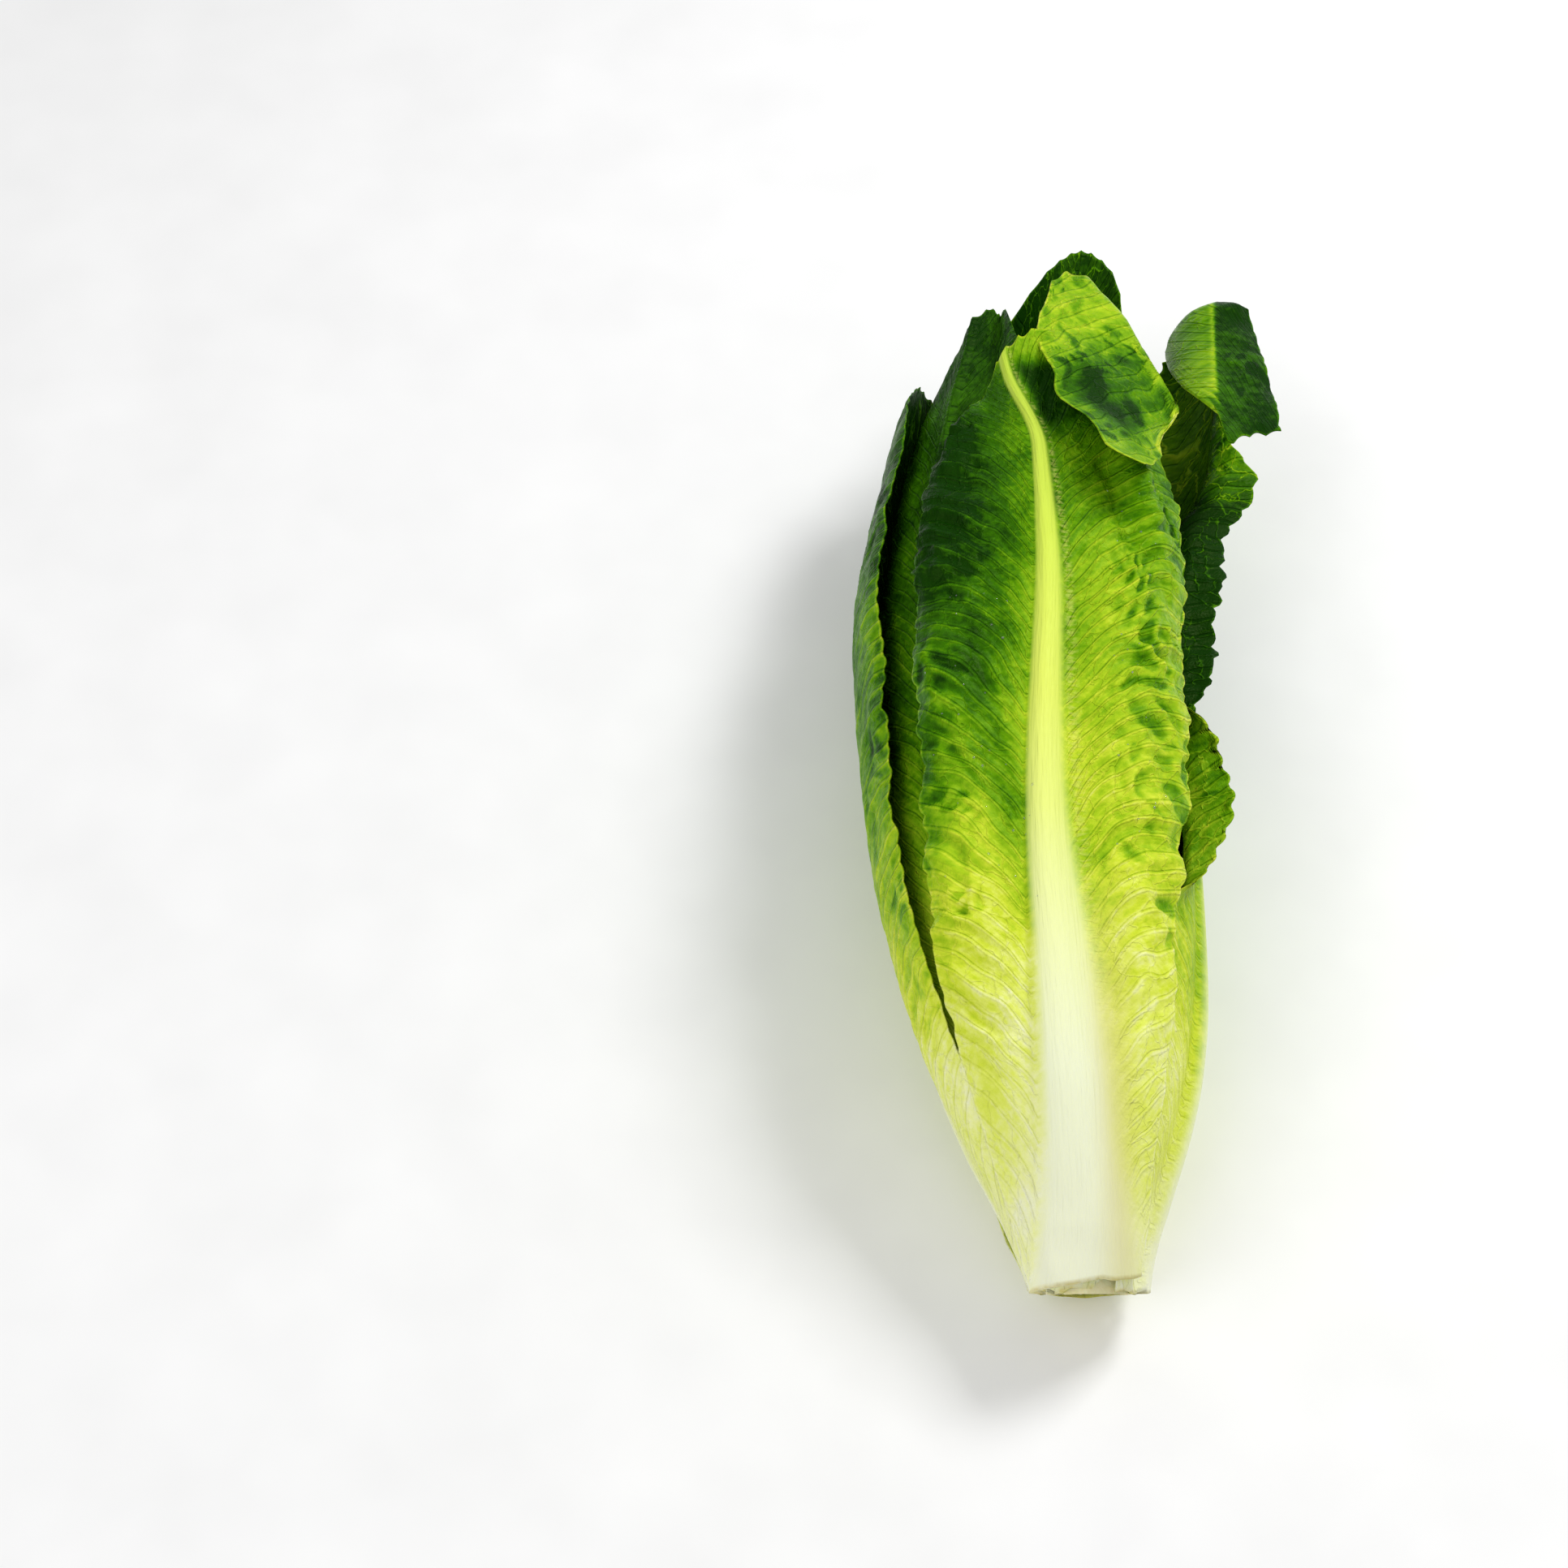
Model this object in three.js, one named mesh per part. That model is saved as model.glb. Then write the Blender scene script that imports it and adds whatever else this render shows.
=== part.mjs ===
// A romaine heart lying on its side: a short cut stem with eighteen leaves wrapped round it.
// Millimetres, +Z up, tips towards +Y, origin at the middle of the underside.
//
// Every leaf is a closed sheet in the plant's own coordinates: s runs along the axis from the cut
// butt, theta goes round it from the top towards +X, and r is the distance from the axis. The
// leaves lie on each other in the order they grew, so each starts where those inside it end.
import * as THREE from 'three';

const DEGREE = Math.PI / 180;

// ---- the whole heart ----
const BUTT_RADIUS = 12;
const BELLY_SWELL = 36; // what the belly adds to the butt's radius
const SWELL_LENGTH = 68; // how quickly the butt widens into the belly
const HEART_LENGTH = 300;
const CLOSE_START = 170; // the tips close in from here to the heart's end
const CLOSE_AMOUNT = 0.76;
const CLOSE_POWER = 1.6; // they close slowly at first
const LEAST_CLOSING = 0.16; // and never narrower than this share of the belly
const OPEN_ANGLE = 92 * DEGREE; // the right side opens out about here
const OPEN_WIDTH = 60 * DEGREE;
const OPEN_AMOUNT = 8;
const OPEN_START = 165;
const OPEN_END = 260;
const OPEN_SHARE = 0.9; // how little of the closing the right side takes part in
const DIP_AMOUNT = 7; // the hollow to the left of the top midrib
const DIP_ANGLE = -27 * DEGREE;
const DIP_WIDTH = 30 * DEGREE;
const DIP_START = 130;
const DIP_END = 220;

// ---- how it lies ----
const RIB_CLEARANCE = 0.5; // room under the bundle's outline for the bottom leaf's rib
const FLOOR_SAG = 4.5; // how far the belly is pressed flat underneath
const SAG_START = 20;
const SAG_END = 120;
const FLOOR_ROUNDING = 6; // how softly the round outline turns into the flat underside
const UNDERSIDE = 0.2; // only what faces down by more than this can reach the surface
const BUTT_LIFT = 2.5; // the butt hangs this far clear of the surface
const LIFT_FADE = 30;
const TIP_RISE = 10; // the axis lifts by this much at the tips
const RISE_START = 205;
const AXIS_DRIFT = 12; // the belly lies this far to the left of the butt
const DRIFT_START = -40;
const DRIFT_END = 150;
const CUT_SLANT = Math.tan(24 * DEGREE); // the cut face looks a little downwards
const CUT_FADE = 26; // how quickly the slant dies out beyond the cut

// ---- the stem ----
const STEM_LENGTH = 58;
const STEM_TAPER = 64; // its sides would meet the least radius here
const STEM_RADIUS = 5.4;
const STEM_TIP_RADIUS = 0.5;
const STEM_RINGS = 9;
const STEM_SIDES = 16;

// ---- the leaves ----
const BLADE = 1.2; // blade thickness
const BUTT_GAP = 0.97; // the leaves' feet sit this close at the butt
const LEAST_GAP = 1.3; // and the blades this close from the belly on
const MOST_GAP = 5.5; // air between two leaves where there is plenty of room
const MARGIN_RAMP = 12; // a leaf's thickness dies out this far beyond its margin
const GAP_RAMP = 24; // and the air under it this far
const FOOT_RAMP = 16; // and this far below a leaf's foot
const RAMP_RADIUS = 22; // both ramps are shorter where the bundle is slimmer than this
const FIRM_START = 60; // the leaves have spread to their full gaps and angles from here on
const SPARE_AIR = 0.05; // a little air outside the last leaf
const GAP_ROUNDING = 2; // how softly the air between the leaves reaches its most
const LEAST_ROUNDING = 0.6; // and its least
const CORE_ROUNDING = 1.5; // how softly the hollow in the middle closes on the stem
const LEAST_FOOT = 0.42; // the share of its width that a leaf has at its foot
const WIDENING = 0.62; // how far along it is at its widest
const LEAST_DEPTH = 0.38; // the innermost leaf lies at about this share of the bundle's radius
const LEAST_RADIUS = 9;

// ---- the ribs ----
const RIB_SHARE = 0.5; // how much of each rib's height the bundle takes up inside its outline
const RIB_GROWTH = 36; // a rib reaches its full height this far from its foot
const RIB_START = -2;
const RIB_FADE_START = 0.1; // and it loses most of that height between here and its tip
const RIB_FADE = 0.85;
const BUTT_RIB = 0.5; // the share of its height that a rib has at the butt
const BUTT_END = 50;
const RIB_HALF_WIDTH = 13; // of the outermost leaf's rib at the butt
const INNERMOST_RIB = 0.45; // the innermost rib's width as a share of that
const RIB_TIP_HALF_WIDTH = 3.5;
const RIB_TAPER = 1.6;
const LEAST_ROOM = 15; // the leaves outside pass over a rib in a curve at least this wide
const RIB_ROOM = 7; // or this much wider than the rib
const RIB_ROOM_SHARE = 0.35; // but no more than this share of the radius

// angle round the axis, where it leaves the stem, where its tip is, widest half width, rib height
const INNER_LEAVES = [
  { angle: -175, foot: 46, tip: 92, width: 10, rib: 1.5 },
  { angle: -37, foot: 42, tip: 112, width: 13, rib: 1.8 },
  { angle: 100, foot: 38, tip: 131, width: 16, rib: 2.1 },
  { angle: -122, foot: 34, tip: 148, width: 19, rib: 2.4 },
  { angle: 16, foot: 30, tip: 164, width: 22, rib: 2.7 },
  { angle: 153, foot: 26, tip: 178, width: 25, rib: 3.0 },
  { angle: -70, foot: 22, tip: 191, width: 28, rib: 3.2 },
  { angle: 68, foot: 18, tip: 203, width: 31, rib: 3.4 },
  { angle: -154, foot: 14, tip: 214, width: 33, rib: 3.6 },
  { angle: -17, foot: 10, tip: 224, width: 35, rib: 3.7 },
  { angle: 36, foot: 6, tip: 234, width: 36, rib: 4.0 },
  { angle: -98, foot: 0, tip: 246, width: 37, rib: 4.2 },
];
const OUTER_LEAVES = [
  {
    name: 'open_leaf', angle: 112, tip: 322, width: 38, rib: 4.2, left: 0.85,
    fold: { at: 268, skew: 6, radius: 8, turn: 170, side: -1 },
    flare: { from: 205, to: 265, angle: 97, width: 33, amount: 10 },
  },
  { name: 'left_leaf', angle: -50, tip: 264, width: 38, rib: 4.4 },
  { name: 'right_leaf', angle: 90, tip: 206, width: 36, rib: 4.6 },
  { name: 'lower_left_leaf', angle: -116, tip: 288, width: 40, rib: 4.8 },
  { name: 'bottom_leaf', angle: 180, tip: 300, width: 40, rib: 4.6 },
  {
    name: 'top_leaf', angle: 4, tip: 312, width: 40, rib: 5.0, left: 0.86, right: 1.1,
    fold: { at: 252, skew: -14, radius: 6, turn: 188, side: 1 },
  },
];
const OUTER_FOOT = -RIB_GROWTH; // the outer leaves' feet were cut off with the butt
const WIDEST_FOOT = 64 * DEGREE; // no leaf's half reaches further round than this at the butt
const WIDEST_BLADE = 74 * DEGREE;
const SHOULDER = 0.74; // a leaf's sides run to here, and its tip is round beyond
const TIP_ROUNDING = 0.9;

// ---- how finely the leaves are divided ----
const INNER_ROWS = 12;
const INNER_COLUMNS = 8;
const OUTER_ROWS = 18;
const OUTER_COLUMNS = 12;
const ROW_CROWDING = 1.35; // rows crowd towards the butt, where the bundle widens fastest
const COLUMN_CROWDING = 1.35; // columns crowd towards the rib, so that it keeps its shape
const FOLD_ROWS = 5;
const FLAP_ROWS = 3;
const LEAST_FLAP = 10; // every column runs at least this far past the fold line
const MOST_ROLL = 0.6; // the share of that which the roll may take
const FOLD_REACH = 20; // a folded leaf takes up room this far past its fold line
const FRAME_STEP = 4; // the fold's direction is measured over this length

const GREEN_OUTER = 0x5f9a1f;
const GREEN_INNER = 0xc9d96b;
const WHITE_STEM = 0xf1f0d2;

function smooth(from, to, x) {
  const t = Math.min(1, Math.max(0, (x - from) / (to - from)));
  return t * t * (3 - 2 * t);
}

// the larger of a and b, rounded off where they meet
function softMax(a, b, round) {
  const h = Math.max(round - Math.abs(a - b), 0) / round;
  return Math.max(a, b) + (h * h * round) / 4;
}

function softMin(a, b, round) {
  return -softMax(-a, -b, round);
}

function wrap(angle) {
  return angle - 2 * Math.PI * Math.round(angle / (2 * Math.PI));
}

function hump(distance, halfWidth) {
  const t = Math.min(1, Math.abs(distance) / halfWidth);
  return Math.cos((Math.PI / 2) * t) ** 2;
}

// ---- the bundle's outline ----
function roundRadius(s) {
  return BUTT_RADIUS + BELLY_SWELL * (1 - Math.exp(-Math.max(s, 0) / SWELL_LENGTH));
}

function axisHeight(s) {
  const rise = TIP_RISE * smooth(RISE_START, HEART_LENGTH, s);
  const sag = FLOOR_SAG * smooth(SAG_START, SAG_END, s);
  const lift = BUTT_LIFT * Math.exp(-Math.max(s, 0) / LIFT_FADE);
  return roundRadius(s) + RIB_CLEARANCE + lift - sag + rise;
}

function envelope(s, theta) {
  const along = Math.max(0, s - CLOSE_START) / (HEART_LENGTH - CLOSE_START);
  const right = hump(wrap(theta - OPEN_ANGLE), OPEN_WIDTH);
  const closing = 1 - CLOSE_AMOUNT * along ** CLOSE_POWER * (1 - OPEN_SHARE * right);
  const opening = OPEN_AMOUNT * right * smooth(OPEN_START, OPEN_END, s);
  const left = hump(wrap(theta - DIP_ANGLE), DIP_WIDTH);
  const dip = DIP_AMOUNT * left * smooth(DIP_START, DIP_END, s);
  const radius = roundRadius(s) * Math.max(closing, LEAST_CLOSING) + opening - dip;
  const down = -Math.cos(theta);
  return down > UNDERSIDE ? softMin(radius, axisHeight(s) / down, FLOOR_ROUNDING) : radius;
}

function stemRadius(s) {
  if (s < 0 || s > STEM_TAPER) return 0;
  return STEM_TIP_RADIUS + (STEM_RADIUS - STEM_TIP_RADIUS) * (1 - (s / STEM_TAPER) ** 2);
}

// ---- one leaf's own shape ----
function nominalRadius(leaf, s) {
  return Math.max(roundRadius(s) * (LEAST_DEPTH + (1 - LEAST_DEPTH) * leaf.depth), LEAST_RADIUS);
}

function halfWidth(leaf, s) {
  const along = Math.max(0, s - leaf.foot) / (leaf.tip - leaf.foot);
  const foot = LEAST_FOOT * leaf.width;
  return foot + (leaf.width - foot) * smooth(0, WIDENING, along);
}

function halfAngle(leaf, s, side) {
  const stretch = side < 0 ? leaf.left : leaf.right;
  const widest = WIDEST_FOOT + (WIDEST_BLADE - WIDEST_FOOT) * smooth(0, FIRM_START, s);
  return Math.min((stretch * halfWidth(leaf, s)) / nominalRadius(leaf, s), widest);
}

function ribHeight(leaf, s) {
  const along = (s - leaf.foot) / (leaf.tip - leaf.foot);
  const grown = smooth(RIB_START, RIB_GROWTH, s - leaf.foot);
  const kept = 1 - RIB_FADE * smooth(RIB_FADE_START, 1, along);
  return leaf.rib * grown * kept * (BUTT_RIB + (1 - BUTT_RIB) * smooth(0, BUTT_END, s));
}

function ribHalfWidth(leaf, s) {
  const along = Math.min(1, Math.max(0, s - leaf.foot) / (leaf.tip - leaf.foot));
  const wide = RIB_HALF_WIDTH * (INNERMOST_RIB + (1 - INNERMOST_RIB) * leaf.depth);
  return RIB_TIP_HALF_WIDTH + (wide - RIB_TIP_HALF_WIDTH) * (1 - along) ** RIB_TAPER;
}

// how much of a leaf there is at s, theta: 1 on the leaf, dying out over the ramp beyond it
function presence(leaf, s, theta, ramp) {
  const turn = wrap(theta - leaf.angle * DEGREE);
  const beside = Math.abs(turn) - halfAngle(leaf, s, turn);
  const radius = nominalRadius(leaf, s);
  const beyond = Math.max(beside * radius, 0);
  const fade = ramp * Math.min(1, radius / RAMP_RADIUS);
  const below = Math.max(leaf.foot - s, 0);
  const above = Math.max(s - leaf.reach, 0);
  const within = smooth(1, 0, below / FOOT_RAMP) * smooth(1, 0, above / ramp);
  return smooth(1, 0, beyond / fade) * within;
}

// how far from a leaf's midrib theta is, round the leaf
function acrossFrom(leaf, s, theta) {
  return wrap(theta - leaf.angle * DEGREE) * nominalRadius(leaf, s);
}

function thickness(leaf, s, theta) {
  return BLADE + ribHeight(leaf, s) * hump(acrossFrom(leaf, s, theta), ribHalfWidth(leaf, s));
}

// the height that a rib takes from the leaves outside it, which pass over it in a wider curve
function ribRoom(leaf, s, theta) {
  const radius = nominalRadius(leaf, s);
  const eased = ribHalfWidth(leaf, s) + Math.min(RIB_ROOM, RIB_ROOM_SHARE * radius);
  const width = Math.max(eased, LEAST_ROOM * Math.min(1, radius / RAMP_RADIUS));
  return ribHeight(leaf, s) * hump(acrossFrom(leaf, s, theta), width);
}

const leaves = [];

// the inner face of leaf number `index`
function innerRadius(index, s, theta) {
  const parts = leaves.map((leaf) => {
    const solid = presence(leaf, s, theta, MARGIN_RAMP);
    const rib = ribRoom(leaf, s, theta);
    return {
      thick: solid * (BLADE + rib),
      counted: solid * (BLADE + RIB_SHARE * rib),
      air: presence(leaf, s, theta, GAP_RAMP),
    };
  });
  const counted = parts.reduce((sum, part) => sum + part.counted, 0);
  const air = parts.reduce((sum, part) => sum + part.air, SPARE_AIR);
  const outline = envelope(s, theta);
  const spare = (outline - stemRadius(s) - counted) / air;
  const least = BUTT_GAP + (LEAST_GAP - BUTT_GAP) * smooth(0, FIRM_START, s);
  const gap = softMax(least, softMin(spare, MOST_GAP, GAP_ROUNDING), LEAST_ROUNDING);
  let radius = softMax(stemRadius(s), outline - counted - gap * air, CORE_ROUNDING);
  for (let i = 0; i < index; i++) radius += parts[i].thick + gap * parts[i].air;
  return radius + gap * parts[index].air;
}

// ---- from the plant's coordinates to the table's ----
function place(s, theta, r) {
  const up = r * Math.cos(theta);
  const slant = CUT_SLANT * Math.exp(-Math.max(s, 0) / CUT_FADE);
  return new THREE.Vector3(
    r * Math.sin(theta) - AXIS_DRIFT * smooth(DRIFT_START, DRIFT_END, s),
    s - slant * up,
    axisHeight(s) + up,
  );
}

function facePoint(leaf, s, theta, outwards) {
  const { flare } = leaf;
  let radius = innerRadius(leaf.index, s, theta) + outwards;
  if (flare) {
    const about = hump(wrap(theta - flare.angle * DEGREE), flare.width * DEGREE);
    radius += flare.amount * about * smooth(flare.from, flare.to, s);
  }
  return place(s, theta, radius);
}

// the leaf's frame at the middle of its fold line: across the line, and out of the face
function foldFrame(leaf) {
  const { fold } = leaf;
  const skew = fold.skew * DEGREE;
  const radius = nominalRadius(leaf, fold.at);
  const at = (along, outwards) => facePoint(
    leaf,
    fold.at + along * Math.cos(skew),
    leaf.angle * DEGREE + (along * Math.sin(skew)) / radius,
    outwards,
  );
  const middle = at(0, 0);
  const onwards = middle.clone().sub(at(-FRAME_STEP, 0)).normalize();
  const outside = at(0, 1).sub(middle);
  outside.addScaledVector(onwards, -outside.dot(onwards)).normalize();
  return { skew, radius, onwards, outside };
}

// a point of the leaf, rolled over the fold line where it lies beyond that line
function leafPoint(leaf, s, theta, outwards) {
  const { fold } = leaf;
  if (!fold) return facePoint(leaf, s, theta, outwards);
  leaf.frame ??= foldFrame(leaf); // it is the same for all the leaf's points
  const { skew, radius, onwards, outside } = leaf.frame;
  const across = wrap(theta - leaf.angle * DEGREE) * radius;
  const beyond = (s - fold.at) * Math.cos(skew) + across * Math.sin(skew);
  if (beyond <= 0) return facePoint(leaf, s, theta, outwards);
  const foot = facePoint(
    leaf,
    s - beyond * Math.cos(skew),
    theta - (beyond * Math.sin(skew)) / radius,
    outwards,
  );
  const full = fold.turn * DEGREE;
  const roll = fold.radius - fold.side * outwards;
  const bend = Math.min(beyond / fold.radius, full);
  const straight = Math.max(beyond - fold.radius * full, 0);
  const ahead = roll * Math.sin(bend) + straight * Math.cos(bend);
  const aside = roll * (1 - Math.cos(bend)) + straight * Math.sin(bend);
  return foot.addScaledVector(onwards, ahead).addScaledVector(outside, fold.side * aside);
}

// ---- meshes ----
function indexedGeometry(points, triangles) {
  const geometry = new THREE.BufferGeometry();
  geometry.setFromPoints(points);
  geometry.setIndex(triangles);
  return geometry;
}

// a closed sheet from two grids of points, the outer face and the inner one
function sheet(outer, inner) {
  const rows = outer.length;
  const columns = outer[0].length;
  const at = (face, i, j) => face * rows * columns + i * columns + j;
  const triangles = [];
  const quad = (a, b, c, d) => triangles.push(a, b, c, a, c, d);
  for (let i = 0; i < rows - 1; i++) {
    for (let j = 0; j < columns - 1; j++) {
      quad(at(0, i, j), at(0, i, j + 1), at(0, i + 1, j + 1), at(0, i + 1, j));
      quad(at(1, i, j), at(1, i + 1, j), at(1, i + 1, j + 1), at(1, i, j + 1));
    }
    quad(at(0, i, 0), at(0, i + 1, 0), at(1, i + 1, 0), at(1, i, 0));
    const last = columns - 1;
    quad(at(0, i, last), at(1, i, last), at(1, i + 1, last), at(0, i + 1, last));
  }
  for (let j = 0; j < columns - 1; j++) {
    quad(at(0, 0, j), at(1, 0, j), at(1, 0, j + 1), at(0, 0, j + 1));
    const last = rows - 1;
    quad(at(0, last, j), at(0, last, j + 1), at(1, last, j + 1), at(1, last, j));
  }
  return indexedGeometry([...outer.flat(), ...inner.flat()], triangles);
}

// where the columns lie, from -1 at one margin to 1 at the other
function columnPlaces(count) {
  return Array.from({ length: count + 1 }, (_, j) => {
    const x = (2 * j) / count - 1;
    return Math.sign(x) * Math.abs(x) ** COLUMN_CROWDING;
  });
}

// where the rows lie along one column, which runs from `start` to `end`
function rowPlaces(leaf, start, end, across) {
  const { fold } = leaf;
  const flat = fold ? leaf.rows - FOLD_ROWS - FLAP_ROWS : leaf.rows;
  const skewed = fold ? fold.at - across * Math.tan(fold.skew * DEGREE) : end;
  const crease = fold ? Math.min(skewed, end - LEAST_FLAP) : end;
  const places = [];
  for (let i = 0; i <= flat; i++) {
    places.push(start + (crease - start) * (i / flat) ** ROW_CROWDING);
  }
  if (!fold) return places;
  const rolled = Math.min(fold.radius * fold.turn * DEGREE, MOST_ROLL * (end - crease));
  for (let i = 1; i <= FOLD_ROWS; i++) places.push(crease + (rolled * i) / FOLD_ROWS);
  for (let i = 1; i <= FLAP_ROWS; i++) {
    places.push(crease + rolled + ((end - crease - rolled) * i) / FLAP_ROWS);
  }
  return places;
}

function leafGeometry(leaf) {
  const start = Math.max(leaf.foot, 0);
  const shoulder = leaf.foot + SHOULDER * (leaf.tip - leaf.foot);
  const outer = Array.from({ length: leaf.rows + 1 }, () => []);
  const inner = Array.from({ length: leaf.rows + 1 }, () => []);
  for (const u of columnPlaces(leaf.columns)) {
    const end = shoulder + (leaf.tip - shoulder) * Math.sqrt(1 - TIP_ROUNDING * u * u);
    const across = u * halfWidth(leaf, shoulder);
    rowPlaces(leaf, start, end, across).forEach((s, i) => {
      const theta = leaf.angle * DEGREE + u * halfAngle(leaf, s, u);
      outer[i].push(leafPoint(leaf, s, theta, thickness(leaf, s, theta)));
      inner[i].push(leafPoint(leaf, s, theta, 0));
    });
  }
  return sheet(outer, inner);
}

function stemGeometry() {
  const points = [];
  const triangles = [];
  for (let i = 0; i < STEM_RINGS; i++) {
    const s = STEM_LENGTH * (i / (STEM_RINGS - 1));
    for (let j = 0; j < STEM_SIDES; j++) {
      points.push(place(s, (2 * Math.PI * j) / STEM_SIDES, stemRadius(s)));
    }
  }
  const cut = points.push(place(0, 0, 0)) - 1;
  const tip = points.push(place(STEM_LENGTH, 0, 0)) - 1;
  const lastRing = (STEM_RINGS - 1) * STEM_SIDES;
  for (let j = 0; j < STEM_SIDES; j++) {
    const next = (j + 1) % STEM_SIDES;
    for (let a = 0; a < lastRing; a += STEM_SIDES) {
      const b = a + STEM_SIDES;
      triangles.push(a + j, a + next, b + next, a + j, b + next, b + j);
    }
    triangles.push(cut, next, j, tip, lastRing + j, lastRing + next);
  }
  return indexedGeometry(points, triangles);
}

// the heart's own weight presses what is lowest flat on the surface
function settle(geometry) {
  const position = geometry.getAttribute('position');
  for (let i = 0; i < position.count; i++) position.setZ(i, Math.max(position.getZ(i), 0));
}

// ---- the heart ----
INNER_LEAVES.forEach((leaf, i) => {
  const name = `inner_leaf_${String(i + 1).padStart(2, '0')}`;
  leaves.push({ ...leaf, name, rows: INNER_ROWS, columns: INNER_COLUMNS, color: GREEN_INNER });
});
for (const leaf of OUTER_LEAVES) {
  leaves.push({ ...leaf, foot: OUTER_FOOT, rows: OUTER_ROWS, columns: OUTER_COLUMNS, color: GREEN_OUTER });
}
leaves.forEach((leaf, index) => {
  leaf.index = index;
  leaf.depth = index / (leaves.length - 1);
  leaf.reach = leaf.fold ? leaf.fold.at + FOLD_REACH : leaf.tip;
  leaf.left ??= 1;
  leaf.right ??= 1;
});

const pieces = [{ name: 'stem', geometry: stemGeometry(), color: WHITE_STEM }];
for (const leaf of leaves) {
  pieces.push({ name: leaf.name, geometry: leafGeometry(leaf), color: leaf.color });
}

const heart = new THREE.Group();
const box = new THREE.Box3();
for (const { name, geometry, color } of pieces) {
  settle(geometry);
  geometry.computeVertexNormals();
  geometry.computeBoundingBox();
  box.union(geometry.boundingBox);
  const material = new THREE.MeshStandardMaterial({ color, roughness: 0.45, metalness: 0 });
  const mesh = new THREE.Mesh(geometry, material);
  mesh.name = name;
  heart.add(mesh);
}
const middle = box.getCenter(new THREE.Vector3());
heart.position.set(-middle.x, -middle.y, 0);

export default heart;
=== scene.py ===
"""A romaine heart on a pale floor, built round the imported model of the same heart.

Every leaf is a thin closed sheet in the plant's own coordinates: s runs along the axis from the cut
butt, theta goes round it from the top towards +X, and r is the distance from the axis. They follow
the same rules as the model's solids, so each leaf lies where its solid does. Lengths are in
millimetres until a mesh is made. In a named value, a pair such as (40, 90) is where something starts
and where it is complete, and (12, (40, 90)) is the amount that it grows to there.
"""
import math
from functools import partial, reduce
from types import SimpleNamespace

import bpy
import numpy as np
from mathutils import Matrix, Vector


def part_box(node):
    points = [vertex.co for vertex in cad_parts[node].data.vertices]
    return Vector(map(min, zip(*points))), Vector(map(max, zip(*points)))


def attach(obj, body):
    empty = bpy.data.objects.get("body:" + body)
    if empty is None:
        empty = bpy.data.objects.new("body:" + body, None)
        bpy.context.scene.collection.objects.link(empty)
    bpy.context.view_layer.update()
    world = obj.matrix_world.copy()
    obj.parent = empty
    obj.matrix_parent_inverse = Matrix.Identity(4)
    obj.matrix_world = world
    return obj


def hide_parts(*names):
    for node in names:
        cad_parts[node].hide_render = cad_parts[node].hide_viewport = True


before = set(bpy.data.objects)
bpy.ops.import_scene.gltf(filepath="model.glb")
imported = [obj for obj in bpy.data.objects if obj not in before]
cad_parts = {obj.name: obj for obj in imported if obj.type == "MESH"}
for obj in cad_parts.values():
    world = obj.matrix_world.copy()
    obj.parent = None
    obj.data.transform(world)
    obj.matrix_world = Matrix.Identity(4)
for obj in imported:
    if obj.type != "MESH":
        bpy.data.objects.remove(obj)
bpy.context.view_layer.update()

MM = 0.001
DEGREE = math.pi / 180
RANDOM = np.random.default_rng(11)

# ---- the whole heart, as in the model ----
# its outline: it swells from the butt, closes towards the tips, opens at the right and dips on top
BUTT_RADIUS = 12
BELLY_SWELL = 36
SWELL_LENGTH = 68
HEART_LENGTH = 300
CLOSE_START = 170
CLOSE_AMOUNT = 0.76
CLOSE_POWER = 1.6
LEAST_CLOSING = 0.16
OPEN_ANGLE = 92 * DEGREE
OPEN_WIDTH = 60 * DEGREE
OPEN_SHARE = 0.9
OPENING = (8, (165, 260))
DIP_ANGLE = -27 * DEGREE
DIP_WIDTH = 30 * DEGREE
DIP = (7, (130, 220))

# how it lies: pressed on the floor, with its butt and its tips raised and its cut end slanted
RIB_CLEARANCE = 0.5
FLOOR_SAG = (4.5, (20, 120))
FLOOR_ROUNDING = 6
UNDERSIDE = 0.2
BUTT_LIFT = 2.5
LIFT_FADE = 30
TIP_RISE = (10, (205, HEART_LENGTH))
AXIS_DRIFT = (12, (-40, 150))
CUT_SLANT = math.tan(24 * DEGREE)
CUT_FADE = 26

# the stem
STEM_LENGTH = 58
STEM_TAPER = 64
STEM_RADIUS = 5.4
STEM_TIP_RADIUS = 0.5

# the leaves' blades and the air between them
BLADE = 1.2
BUTT_GAP = 0.97
LEAST_GAP = 1.3
MOST_GAP = 5.5
MARGIN_RAMP = 12
GAP_RAMP = 24
FOOT_RAMP = 16
RAMP_RADIUS = 22
FIRM_START = 60
SPARE_AIR = 0.05
GAP_ROUNDING = 2
LEAST_ROUNDING = 0.6
CORE_ROUNDING = 1.5

# the leaves' outlines
OUTER_FOOT = -36
LEAST_FOOT = 0.42
WIDENING = 0.62
LEAST_DEPTH = 0.38
LEAST_RADIUS = 9
WIDEST_FOOT = 64 * DEGREE
WIDEST_BLADE = 74 * DEGREE
SHOULDER = 0.74
TIP_ROUNDING = 0.9

# the leaves' midribs
RIB_SHARE = 0.5
RIB_GROWTH = (-2, 36)
RIB_FADE_START = 0.1
RIB_FADE = 0.85
BUTT_RIB = 0.5
BUTT_END = 50
RIB_HALF_WIDTH = 13
INNERMOST_RIB = 0.45
RIB_TIP_HALF_WIDTH = 3.5
RIB_TAPER = 1.6
LEAST_ROOM = 15
RIB_ROOM = 7
RIB_ROOM_SHARE = 0.35

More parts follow.
